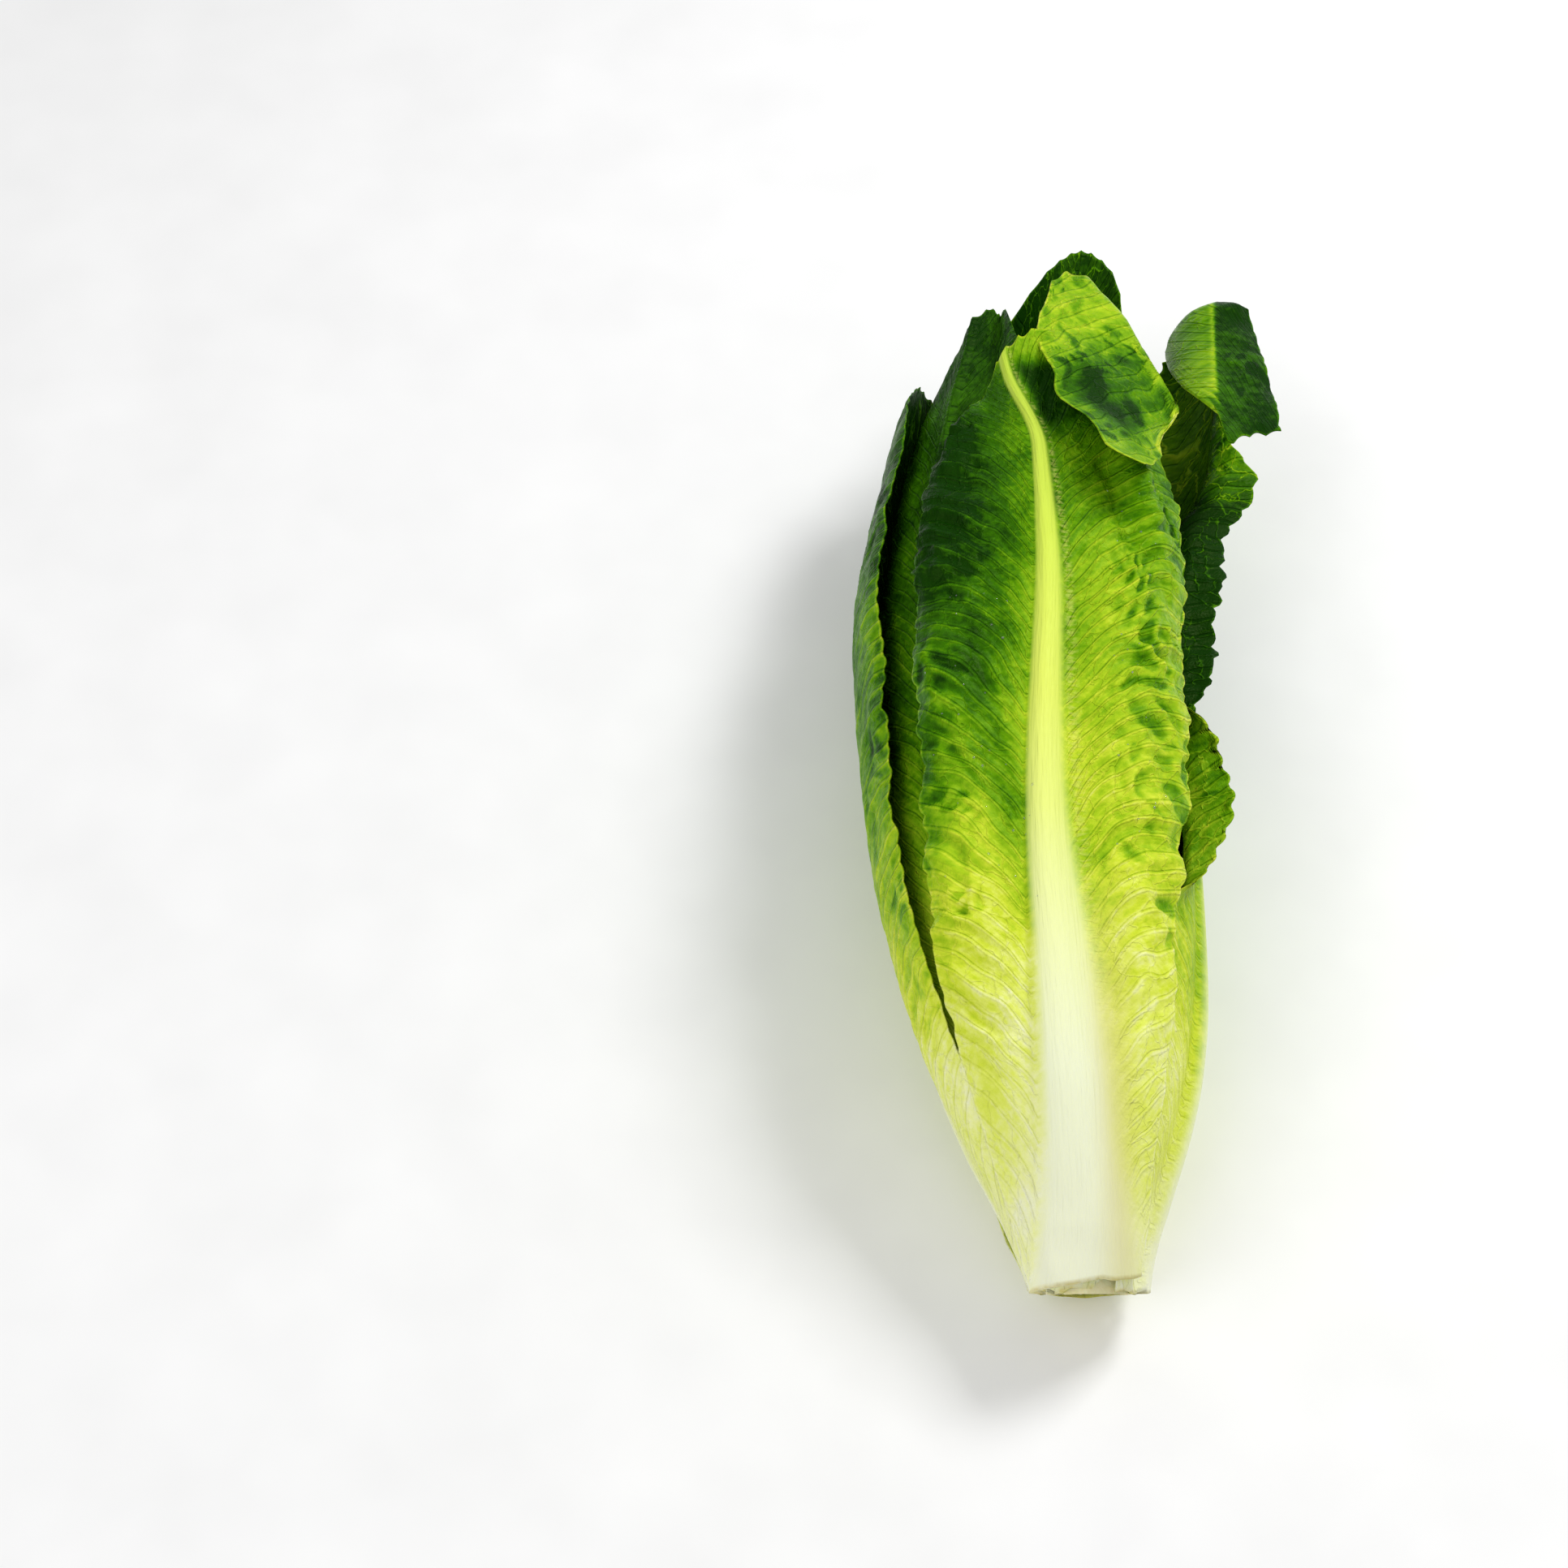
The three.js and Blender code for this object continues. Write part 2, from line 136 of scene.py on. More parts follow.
# angle round the axis, where it leaves the stem, where its tip is, widest half width, rib height
INNER_LEAVES = [
    (-175, 46, 92, 10, 1.5),
    (-37, 42, 112, 13, 1.8),
    (100, 38, 131, 16, 2.1),
    (-122, 34, 148, 19, 2.4),
    (16, 30, 164, 22, 2.7),
    (153, 26, 178, 25, 3.0),
    (-70, 22, 191, 28, 3.2),
    (68, 18, 203, 31, 3.4),
    (-154, 14, 214, 33, 3.6),
    (-17, 10, 224, 35, 3.7),
    (36, 6, 234, 36, 4.0),
    (-98, 0, 246, 37, 4.2),
]

# a leaf's sheet that is as wide as the model's all along, as (along, share) points
EVEN = ((0, 1.0), (300, 1.0))

# how green a leaf is along its length, as (along, greenness) points: 0 is the white of the butt
INNER_TONES = ((0, 0.0), (60, 0.10), (120, 0.28), (200, 0.58), (250, 0.74))
UNDER_TONES = ((0, 0.04), (60, 0.28), (120, 0.52), (200, 0.80), (300, 0.87))
# the open leaf is greenest from 165 to 205 partly through painted shade where it lies behind the top leaf
OPEN_TONES_WITH_SHADE = ((0, 0.06), (60, 0.34), (120, 0.66), (165, 1.0), (205, 1.0), (219, 0.84), (231, 0.66),
              (250, 0.62), (280, 0.72), (340, 0.66))
LEFT_TONES = ((0, 0.08), (30, 0.2), (55, 0.3), (75, 0.42), (100, 0.6), (130, 0.76), (160, 0.85), (264, 0.96))
RIGHT_TONES = ((0, 0.04), (25, 0.15), (50, 0.30), (78, 0.42), (94, 0.50), (120, 0.56), (206, 0.85))
LOWER_LEFT_TONES = ((0, 0.03), (30, 0.11), (50, 0.19), (75, 0.38), (100, 0.56), (130, 0.70), (288, 0.95))
TOP_TONES = ((0, 0.05), (25, 0.17), (50, 0.23), (75, 0.33), (108, 0.44), (145, 0.54), (170, 0.61),
             (200, 0.71), (238, 0.76), (252, 0.6), (300, 0.6))


class Leaf:
    """One leaf: where it stands in the bundle, and how its own sheet looks."""

    left = 1
    right = 1
    fold_reach = None  # where along it the model's folded leaf ends
    flare = None  # angle and half width in degrees, and how far the leaf opens there
    raised = None  # how far its end is moved, and over which stretch
    # the sheet's rows and its columns left and right of the middle, and its outline
    grid = (70, 20, 20)
    left_share = EVEN  # shares of the model's width, as (along, share) points
    right_share = EVEN
    far_margin = None  # (across, along) points of the margin at the tip
    cut = 0  # how far along the leaf its cut foot lies
    cut_slope = 0  # and how much further from its left side to its middle, and on to its right
    droop = 0  # how fast the rows of the sheet fall off at the right of the blade
    folds = ()
    # and its surface
    relief = 0.5  # height of the veins and blisters
    ruffle = 0.6  # how far the margin waves out of the sheet
    teeth = 0.5  # and along it
    pale_rib = 1.0
    net = 1.0  # how pale the finest veins are on the inner face
    tones = INNER_TONES

    def __init__(self, name, angle, foot, tip, width, rib, **look):
        self.name = name
        self.angle = angle * DEGREE
        self.foot = foot
        self.tip = tip
        self.width = width
        self.rib = rib
        self.__dict__.update(look)
        self.reach = self.fold_reach or tip


# lines over which a leaf's sheet rolls, from one (across, along) point to another: it rolls to the
# left of the line's direction, out of the bundle (side 1) or into it (side -1)
HOOD = {"start": (34, 284), "end": (48, 238), "radii": (4.0, 4.0), "turn": 160, "side": 1, "beyond": 90.0}
TRAY = {"start": (-24, 114), "end": (-13, 285), "radii": (7.0, 6.0), "turn": 112, "side": 1, "grown": 0.25}
CURLED_TIP = {"start": (-60, 277), "end": (0, 272), "radii": (5.0, 5.0), "turn": 165, "side": -1}
TIP_RIDGE = {"start": (-20.5, 275), "end": (-15.4, 342), "radii": (1.0, 1.0), "turn": 38, "side": -1,
             "grown": 0.1}
FRILL = {"start": (-13, 84), "end": (-13, 150), "radii": (4.0, 4.0), "turn": 95, "side": 1, "grown": 0.3,
         "fading": 0.75}

LEAVES = [
    Leaf(f"inner_leaf_{i + 1:02d}", *spec) for i, spec in enumerate(INNER_LEAVES)
] + [
    Leaf(
        "open_leaf", 112, OUTER_FOOT, 322, 38, 4.2, left=0.85, fold_reach=288,
        flare=(97, 33, (4, (205, 265))), grid=(260, 75, 50), tones=OPEN_TONES_WITH_SHADE,
        folds=(TRAY, CURLED_TIP, TIP_RIDGE),
        left_share=((95, 0.8), (130, 1.16), (165, 1.28), (195, 1.22), (212, 1.16), (227, 1.16), (238, 0.84),
                    (250, 0.84), (268, 0.95), (282, 0.86), (300, 0.92), (330, 0.97)),
        far_margin=((-36, 343), (-28, 347), (-20, 352), (-16.5, 353), (-15.3, 333), (-14.3, 310), (-13, 294),
                    (-9, 284), (0, 279), (8, 272), (16, 264), (28, 235), (38, 195)),
        cut=0.6, relief=0.7, ruffle=1.6, teeth=1.8, pale_rib=0.1,
    ),
    Leaf(
        "left_leaf", -50, OUTER_FOOT, 264, 38, 4.4, grid=(230, 60, 60),
        far_margin=((-38, 205), (-24, 240), (-10, 266), (0, 277), (8, 280), (18, 279), (28, 275), (36, 258)),
        tones=LEFT_TONES, cut=0.5, relief=0.5, ruffle=1.2, teeth=0.9, pale_rib=0.05,
    ),
    Leaf(
        "right_leaf", 90, OUTER_FOOT, 206, 36, 4.6, grid=(220, 60, 60),
        left_share=((66, 1.0), (90, 0.62), (104, 0.7), (118, 0.84), (150, 0.6), (206, 0.6)), folds=(FRILL,),
        tones=RIGHT_TONES, cut=0.0, net=0.5, relief=0.5, ruffle=2.2, teeth=2.4, pale_rib=0.45,
    ),
    Leaf(
        "lower_left_leaf", -116, OUTER_FOOT, 288, 40, 4.8, grid=(230, 55, 75),
        far_margin=((-40, 215), (-20, 243), (0, 262), (12, 264), (24, 259), (36, 245), (44, 225)),
        right_share=((0, 1.0), (30, 1.14), (60, 1.1), (90, 1.03), (130, 1.0), (300, 1.0)),
        tones=LOWER_LEFT_TONES, cut=0.5, relief=0.45, ruffle=1.0, teeth=1.0,
    ),
    Leaf(
        "bottom_leaf", 180, OUTER_FOOT, 300, 40, 4.6, grid=(230, 60, 60),
        flare=(180, 120, (14, (230, 300))), raised=((20, 0, 33), (235, 300)), tones=UNDER_TONES, cut=-0.5,
        relief=0.4, ruffle=1.5, teeth=0.6, pale_rib=0.1,
    ),
    Leaf(
        "top_leaf", 4, OUTER_FOOT, 312, 40, 5.0, left=0.86, right=1.1, fold_reach=272,
        grid=(285, 66, 105), tones=TOP_TONES, folds=(HOOD,),
        left_share=((0, 1.0), (25, 1.4), (45, 1.44), (62, 1.38), (80, 1.22), (103, 1.09), (150, 1.0),
                    (300, 1.0)),
        right_share=((0, 0.7), (25, 0.68), (45, 0.75), (86, 0.8), (110, 0.86), (150, 0.92), (205, 0.94),
                     (228, 0.98), (237, 1.02), (246, 2.1), (256, 2.6), (272, 2.1), (292, 1.45)),
        droop=0.43,
        far_margin=((-34, 214), (-20, 240), (-9, 251), (2, 255), (12, 259), (22, 266), (32, 280), (40, 288),
                    (50, 292), (66, 288)),
        relief=1.4, ruffle=1.8, teeth=1.3, cut_slope=2.0, net=0.25,
    ),
]
for number, each in enumerate(LEAVES):
    each.index = number
    each.depth = number / (len(LEAVES) - 1)  # 0 in the middle of the heart, 1 outside


# ---- small functions ----
def smooth(start, end, x):
    """0 up to start, 1 from end on, and a smooth step between them."""
    t = np.clip((x - start) / (end - start), 0, 1)
    return t * t * (3 - 2 * t)


def amount(spec, *places):
    """An amount that grows, or fades where a range is given backwards, over a range of each place."""
    value, *ranges = spec
    for (start, end), where in zip(ranges, places):
        value = value * smooth(start, end, where)
    return value


def soft_max(a, b, rounding):
    h = np.maximum(rounding - np.abs(a - b), 0) / rounding
    return np.maximum(a, b) + h * h * rounding / 4


def soft_min(a, b, rounding):
    return -soft_max(-a, -b, rounding)


def wrap(angle):
    return angle - 2 * np.pi * np.round(angle / (2 * np.pi))


def hump(distance, half_width):
    """1 in the middle, and 0 from half_width on."""
    return np.cos(np.pi / 2 * np.minimum(1, np.abs(distance) / half_width)) ** 2


def through(points, x):
    """A smooth curve through a few (x, y) points, level beyond both ends."""
    xs, ys = np.array(points, float).T
    secants = np.diff(ys) / np.diff(xs)
    before = np.append(secants[:1], secants)
    after = np.append(secants, secants[-1:])
    level = before * after <= 0
    slopes = np.where(level, 0, 2 * before * after / np.where(level, 1, before + after))
    at = np.clip(np.searchsorted(xs, x) - 1, 0, len(xs) - 2)
    step = xs[at + 1] - xs[at]
    t = np.clip((x - xs[at]) / step, 0, 1)
    start = (2 * t**3 - 3 * t**2 + 1) * ys[at] + (t**3 - 2 * t**2 + t) * step * slopes[at]
    end = (3 * t**2 - 2 * t**3) * ys[at + 1] + (t**3 - t**2) * step * slopes[at + 1]
    return start + end


def along_axis(vectors, axis):
    return np.sum(vectors * axis, axis=-1, keepdims=True)


def unit(vectors):
    return vectors / np.maximum(np.linalg.norm(vectors, axis=-1, keepdims=True), 1e-9)


# random values at whole numbers, which both kinds of noise read with a step of their own per seed
LATTICE_SIZE = 256
LATTICE = RANDOM.random((LATTICE_SIZE, LATTICE_SIZE, 3))
NOISE_STEP = (37, 91)
CELL_STEP = (53, 29)
NO_POINT_YET = 9.0


def lattice(column, row, seed, step):
    return LATTICE[(column + step[0] * seed) % LATTICE_SIZE, (row + step[1] * seed) % LATTICE_SIZE]


def noise(x, y, seed=0):
    """Smooth noise from -1 to 1 that changes over a distance of about 1."""
    column = np.floor(x).astype(int)
    row = np.floor(y).astype(int)
    fx = x - column
    fy = y - row
    wx = fx * fx * (3 - 2 * fx)
    wy = fy * fy * (3 - 2 * fy)

    def corner(dx, dy):
        return lattice(column + dx, row + dy, seed, NOISE_STEP)[..., 0]

    low = corner(0, 0) * (1 - wx) + corner(1, 0) * wx
    high = corner(0, 1) * (1 - wx) + corner(1, 1) * wx
    return 2 * (low * (1 - wy) + high * wy) - 1


def waves(layer, across, s, seed):
    """Noise over a leaf: a layer is its height, its lengths across and along, and its own seed."""
    height, wide, long, own = layer
    return height * noise(across / wide, s / long, seed + own)


def cells(x, y, seed=0):
    """Distances to the nearest and the second nearest of scattered points, about 1 apart."""
    column = np.floor(x).astype(int)
    row = np.floor(y).astype(int)
    nearest = np.full(x.shape, NO_POINT_YET)
    second = np.full(x.shape, NO_POINT_YET)
    for dx in (-1, 0, 1):
        for dy in (-1, 0, 1):
            spot = lattice(column + dx, row + dy, seed, CELL_STEP)
            away = np.hypot(column + dx + spot[..., 1] - x, row + dy + spot[..., 2] - y)
            second = np.minimum(second, np.maximum(nearest, away))
            nearest = np.minimum(nearest, away)
    return nearest, second


# ---- the bundle, as in the model ----
def round_radius(s):
    return BUTT_RADIUS + BELLY_SWELL * (1 - np.exp(-np.maximum(s, 0) / SWELL_LENGTH))


def axis_height(s):
    lift = BUTT_LIFT * np.exp(-np.maximum(s, 0) / LIFT_FADE)
    return round_radius(s) + RIB_CLEARANCE + lift - amount(FLOOR_SAG, s) + amount(TIP_RISE, s)


def envelope(s, theta):
    """The radius of the whole heart."""
    along = np.maximum(0, s - CLOSE_START) / (HEART_LENGTH - CLOSE_START)
    right = hump(wrap(theta - OPEN_ANGLE), OPEN_WIDTH)
    closing = 1 - CLOSE_AMOUNT * along**CLOSE_POWER * (1 - OPEN_SHARE * right)
    dip = amount(DIP, s) * hump(wrap(theta - DIP_ANGLE), DIP_WIDTH)
    radius = round_radius(s) * np.maximum(closing, LEAST_CLOSING) + right * amount(OPENING, s) - dip
    down = -np.cos(theta)
    pressed = soft_min(radius, axis_height(s) / np.maximum(down, UNDERSIDE), FLOOR_ROUNDING)
    return np.where(down > UNDERSIDE, pressed, radius)


def stem_radius(s):
    taper = STEM_TIP_RADIUS + (STEM_RADIUS - STEM_TIP_RADIUS) * (1 - (s / STEM_TAPER) ** 2)
    return np.where((s < 0) | (s > STEM_TAPER), 0, taper)


def nominal_radius(leaf, s):
    """The radius at which a leaf would lie in a bundle that is round."""
    share = LEAST_DEPTH + (1 - LEAST_DEPTH) * leaf.depth
    return np.maximum(round_radius(s) * share, LEAST_RADIUS)


def half_width(leaf, s):
    along = np.maximum(0, s - leaf.foot) / (leaf.tip - leaf.foot)
    foot = LEAST_FOOT * leaf.width
    return foot + (leaf.width - foot) * smooth(0, WIDENING, along)


def half_angle(leaf, s, side):
    """How far round the axis a leaf reaches to its left (side below 0) or to its right."""
    stretch = np.where(side < 0, leaf.left, leaf.right)
    widest = WIDEST_FOOT + (WIDEST_BLADE - WIDEST_FOOT) * smooth(0, FIRM_START, s)
    return np.minimum(stretch * half_width(leaf, s) / nominal_radius(leaf, s), widest)


def rib_height(leaf, s):
    along = (s - leaf.foot) / (leaf.tip - leaf.foot)
    grown = smooth(*RIB_GROWTH, s - leaf.foot)
    kept = 1 - RIB_FADE * smooth(RIB_FADE_START, 1, along)
    return leaf.rib * grown * kept * (BUTT_RIB + (1 - BUTT_RIB) * smooth(0, BUTT_END, s))


def rib_half_width(leaf, s):
    along = np.clip((s - leaf.foot) / (leaf.tip - leaf.foot), 0, 1)
    wide = RIB_HALF_WIDTH * (INNERMOST_RIB + (1 - INNERMOST_RIB) * leaf.depth)
    return RIB_TIP_HALF_WIDTH + (wide - RIB_TIP_HALF_WIDTH) * (1 - along) ** RIB_TAPER


def presence(leaf, s, theta, ramp):
    """1 where the leaf is, fading to 0 over a distance of ramp beyond its outline."""
    turn = wrap(theta - leaf.angle)
    radius = nominal_radius(leaf, s)
    beyond = np.maximum((np.abs(turn) - half_angle(leaf, s, turn)) * radius, 0)
    fade = ramp * np.minimum(1, radius / RAMP_RADIUS)
    below = np.maximum(leaf.foot - s, 0)
    above = np.maximum(s - leaf.reach, 0)
    within = (1 - smooth(0, 1, below / FOOT_RAMP)) * (1 - smooth(0, 1, above / ramp))
    return (1 - smooth(0, 1, beyond / fade)) * within


def rib_room(leaf, s, theta):
    """How far the leaf's midrib keeps the next leaf off its blade."""
    radius = nominal_radius(leaf, s)
    eased = rib_half_width(leaf, s) + np.minimum(RIB_ROOM, RIB_ROOM_SHARE * radius)
    width = np.maximum(eased, LEAST_ROOM * np.minimum(1, radius / RAMP_RADIUS))
    return rib_height(leaf, s) * hump(wrap(theta - leaf.angle) * radius, width)


def inner_radius(index, s, theta):
    """The distance from the axis to the inner face of leaf number index."""
    thick = []
    airs = []
    counted = 0
    air = SPARE_AIR
    for leaf in LEAVES:
        solid = presence(leaf, s, theta, MARGIN_RAMP)
        rib = rib_room(leaf, s, theta)
        thick.append(solid * (BLADE + rib))
        counted = counted + solid * (BLADE + RIB_SHARE * rib)
        airs.append(presence(leaf, s, theta, GAP_RAMP))
        air = air + airs[-1]
    outline = envelope(s, theta)
    spare = (outline - stem_radius(s) - counted) / air
    least = BUTT_GAP + (LEAST_GAP - BUTT_GAP) * smooth(0, FIRM_START, s)
    gap = soft_max(least, soft_min(spare, MOST_GAP, GAP_ROUNDING), LEAST_ROUNDING)
    radius = soft_max(stem_radius(s), outline - counted - gap * air, CORE_ROUNDING)
    for j in range(index):
        radius = radius + thick[j] + gap * airs[j]
    return radius + gap * airs[index]


def place(s, theta, r):
    """The point in the plant's own millimetres."""
    up = r * np.cos(theta)
    slant = CUT_SLANT * np.exp(-np.maximum(s, 0) / CUT_FADE)
    x = r * np.sin(theta) - amount(AXIS_DRIFT, s)
    return np.stack([x, s - slant * up, axis_height(s) + up], axis=-1)


# ---- where a point of a leaf's sheet lies ----
FRAME_STEP = 4  # the sheet's direction at a fold is taken over this distance
STRAIGHT = 1e5  # the radius of a flap that does not bulge
LEAST_SHARE = 1e-4  # of a fold's turn, where it has not begun
WHOLE_SHARE = 0.5  # from this share of its turn a fold counts fully


def face_point(leaf, across, s, outwards):
    """A point by its distance from the midrib, its place along the leaf and its height on the sheet."""
    theta = leaf.angle + across / nominal_radius(leaf, s)
    radius = inner_radius(leaf.index, s, theta) + outwards
    if leaf.flare:
        angle, width, opening = leaf.flare
        radius = radius + hump(wrap(theta - angle * DEGREE), width * DEGREE) * amount(opening, s)
    point = place(s, theta, radius)
    if leaf.raised:
        move, stretch = leaf.raised
        point = point + np.array(move) * smooth(*stretch, s)[..., None]
    return point


def from_line(fold, across, s):
    """How far beyond the fold's line a point lies, how far along it, and which way is beyond."""
    start = np.array(fold["start"], float)
    line = np.array(fold["end"], float) - start
    length = np.linalg.norm(line)
    line = line / length
    forth = np.array([-line[1], line[0]])
    beyond = (across - start[0]) * forth[0] + (s - start[1]) * forth[1]
    q = np.clip(((across - start[0]) * line[0] + (s - start[1]) * line[1]) / length, 0, 1)
    return beyond, q, forth


def fold_share(fold, q):
    """How much of its turn a fold makes, at the share q of the way along its line."""
    share = 1 + 0 * q
    if "grown" in fold:
        share = smooth(0, fold["grown"], q)
    if "fading" in fold:
        share = share * (1 - smooth(fold["fading"], 1, q))
    return share


def roll(fold, beyond, q, share):
    """How far ahead and aside of the line a point comes to lie, and how far its sheet turns."""
    radius = fold["radii"][0] + (fold["radii"][1] - fold["radii"][0]) * q
    curved = np.minimum(beyond, radius * fold["turn"] * DEGREE)
    straight = beyond - curved
    curvature = np.maximum(share, LEAST_SHARE) / radius
    bend = (curved * curvature)[..., None]
    loose = fold.get("beyond", STRAIGHT)
    last = bend + (straight / loose)[..., None]
    ahead = np.sin(bend) / curvature[..., None] + loose * (np.sin(last) - np.sin(bend))
    aside = (1 - np.cos(bend)) / curvature[..., None] + loose * (np.cos(bend) - np.cos(last))
    return ahead, aside, last


def rolled(fold, point_at, across, s, outwards):
    """A point of a sheet that rolls over the fold's line where it lies beyond that line."""
    beyond, q, forth = from_line(fold, across, s)
    beyond = np.maximum(beyond, 0)
    share = fold_share(fold, q)
    ahead, aside, turn = roll(fold, beyond, q, share)

    foot_across = across - beyond * forth[0]
    foot_s = s - beyond * forth[1]
    foot = point_at(foot_across, foot_s, 0 * s)
    behind = point_at(foot_across - FRAME_STEP * forth[0], foot_s - FRAME_STEP * forth[1], 0 * s)
    up = point_at(foot_across, foot_s, 0 * s + 1) - foot
    onwards = unit(foot - behind)
    leaning = along_axis(up, onwards)
    outside = unit(up - leaning * onwards)
    standing = along_axis(up, outside)

    side = fold["side"]
    turned_up = standing * np.cos(turn) + side * leaning * np.sin(turn)
    turned_on = leaning * np.cos(turn) - side * standing * np.sin(turn)
    thickness = outwards[..., None] * (turned_up * outside + turned_on * onwards)
    folded = foot + ahead * onwards + side * aside * outside + thickness
    if share.min() == 1:
        return folded
    kept = smooth(0, WHOLE_SHARE, share)[..., None]
    return kept * folded + (1 - kept) * point_at(across, s, outwards)


def leaf_point(leaf, across, s, outwards):
    """Where a point of a leaf's sheet lies once each of its folds is made, one after the other."""
    point_at = partial(face_point, leaf)
    for fold in leaf.folds:
        point_at = partial(rolled, fold, point_at)
    return point_at(across, s, outwards)


# ---- the outline of each leaf's own sheet ----
RUFFLE_LENGTH = 9
TOOTH_SPACING = 5.5
MARGIN_SEEDS = 3  # seeds for each leaf's margins
MARGIN_WAVES = ((1.0, 18, 7.3), (0.6, 4.5, 3.1))  # height, length, and what sets the sides apart
WAVE_SHARE = 0.8
TOOTH_SHARE = 0.9
TOOTH_DRIFT = 0.9
TOOTH_BLUNTNESS = 0.7
TOOTH_MIDDLE = 0.6
TEETH_GROW = (30, 110)
TEETH_FADE = (0.8, (255, 280))
MARGIN_POWER = 6
FOOT_WAVE = 0.8
FOOT_WAVES = 2.5
DROOP_START = 48


def tip_margin(leaf, u, reach):
    """How far along the leaf its ragged far margin lies, at the share u of its reach to a side."""
    if leaf.far_margin:
        end = through(leaf.far_margin, u * reach)
    else:
        shoulder = leaf.foot + SHOULDER * (leaf.tip - leaf.foot)
        end = shoulder + (leaf.tip - shoulder) * np.sqrt(1 - TIP_ROUNDING * u * u)
    ragged = noise(u * leaf.width / RUFFLE_LENGTH, 0 * u, MARGIN_SEEDS * leaf.index) - 1
    return end + leaf.teeth * (ragged - np.abs(np.sin(np.pi * u * leaf.width / TOOTH_SPACING)))


def side_teeth(leaf, u, s):
    """How far the teeth and waves of the side margins stand out."""
    wander = 0
    for number, (height, length, apart) in enumerate(MARGIN_WAVES, 1):
        seed = MARGIN_SEEDS * leaf.index + number
        wander = wander + height * noise(s / length, np.sign(u) * apart + 0 * s, seed)
    turns = np.abs(np.sin(np.pi * s / TOOTH_SPACING + TOOTH_DRIFT * wander))
    jagged = WAVE_SHARE * wander + TOOTH_SHARE * (turns**TOOTH_BLUNTNESS - TOOTH_MIDDLE)
    toothed = smooth(*TEETH_GROW, s) * (1 - amount(TEETH_FADE, s))
    return leaf.teeth * jagged * toothed * np.abs(u) ** MARGIN_POWER


def grid(leaf):
    """Where the sheet's points lie: their place u from margin to margin, across and along."""
    rows, left, right = leaf.grid
    u = np.concatenate([np.linspace(-1, 0, left, endpoint=False), np.linspace(0, 1, right + 1)])[None, :]

    def reach(s):
        share = np.where(u < 0, through(leaf.left_share, s), through(leaf.right_share, s))
        return share * half_angle(leaf, s, u) * nominal_radius(leaf, s)

    end = tip_margin(leaf, u, reach(leaf.tip + 0 * u))
    start = max(leaf.foot, 0) + leaf.cut + leaf.cut_slope * (1 + u)
    start = start + FOOT_WAVE * noise(FOOT_WAVES * u, 0 * u + leaf.index, MARGIN_SEEDS * leaf.index)
    t = np.linspace(0, 1, rows + 1)[:, None]
    s = start + (end - start) * t
    across = u * (reach(s) + side_teeth(leaf, u, s))
    fall = leaf.droop * np.maximum(across - DROOP_START, 0)
    return u + 0 * s, across, s - fall, start, end - fall


# ---- the patterns on a sheet ----
# layers of noise: height, length across and along, own seed
VEIN_BENDS = ((2.4, 15, 21, 0), (1.2, 6, 8, 1))
PATCHES = (0.45, 11, 13, 4)
JITTER = (0.9, 9, 9, 3)
SWELLS = (1.0, 12, 20, 5)
HOOD_WAVES = (1.0, 12, 15, 14)
TONE_WAVES = (0.07, 16, 24, 6)
CRINKLE_SEED = 12
RUFFLE_SEED = 9

VEIN_SPACING = 4.7  # lateral veins leave the midrib this far apart
VEIN_CLIMB = 27  # a vein climbs this far on its way to the margin
VEIN_SPREAD = 16  # and most of it within this distance of the midrib
VEIN_FOOT = 0.7  # it starts at this share of the midrib's half width
VEIN_SHIFT = 0.4  # right of the midrib it starts this share of the spacing further down
RIGHT_SEED = 20
CELL_WIDTH = 7.5  # blisters between the veins
CELL_LENGTH = 0.6
CELL_WALLS = (0.04, 0.65)
PATCHY = 0.55
CRINKLE_WIDTH = 13
CRINKLE_LENGTH = 0.8
CRINKLE_SHARPNESS = 1.8
GROWN = (15, 90)  # the relief grows along the leaf
OUTER = (0.15, 0.8)  # and towards its margins
OUTER_WIDTH = 0.9
OFF_RIB = (0.75, 1.5)  # and beside the midrib, in its half widths
TIP_LENGTH = 0.9  # a distance from the tip counts this much, next to one from a margin

# the midrib as it looks: its shares of the model's width left and right, and what changes them
LEFT_RIB = 0.8
RIGHT_RIB = 1.1
RIB_SLIMMER = (0.3, (120, 250))
# the top leaf's leans to the left at its tip, and lies left of the leaf's middle at its foot
RIB_SWAY = (12, (212, 252))
RIB_ASIDE = (5.5, (180, 80))
BUTT_BROADER = (2, (30, 5))
LEFT_SLIMMER = (0.17, (50, 100))
LEFT_SOFTER = (0.6, (50, 100))
RIGHT_SOFTER = (0.6, (115, 50))
HOOD_START = (1, 9)  # beyond the hood's line
COVERED = (0.7, (-52, -36), (205, 222))  # beyond that line, and along what the hood lies on


def vein_place(leaf, across, s):
    """Whole numbers are on a lateral vein, and what lies between them is between two veins."""
    away = np.maximum(np.abs(across) - VEIN_FOOT * rib_half_width(leaf, s), 0)
    climb = VEIN_CLIMB * (1 - np.exp(-away / VEIN_SPREAD))
    seed = leaf.index + RIGHT_SEED * (across > 0)
    bends = sum(waves(layer, across, s, seed) for layer in VEIN_BENDS)
    return (s - climb + bends) / VEIN_SPACING + VEIN_SHIFT * (across > 0)


def visible_rib(leaf, from_rib, s, is_top):
    """The midrib's half width, and how much of its colour shows."""
    width = rib_half_width(leaf, s) * (1 - amount(RIB_SLIMMER, s)) + is_top * amount(BUTT_BROADER, s)
    width = width * np.where(from_rib < 0, LEFT_RIB - is_top * amount(LEFT_SLIMMER, s), RIGHT_RIB)
    shown = hump(from_rib, width * (1 + is_top * (from_rib > 0) * amount(RIGHT_SOFTER, s)))
    return width, shown ** np.where(from_rib < 0, 1 - is_top * amount(LEFT_SOFTER, s), 1)


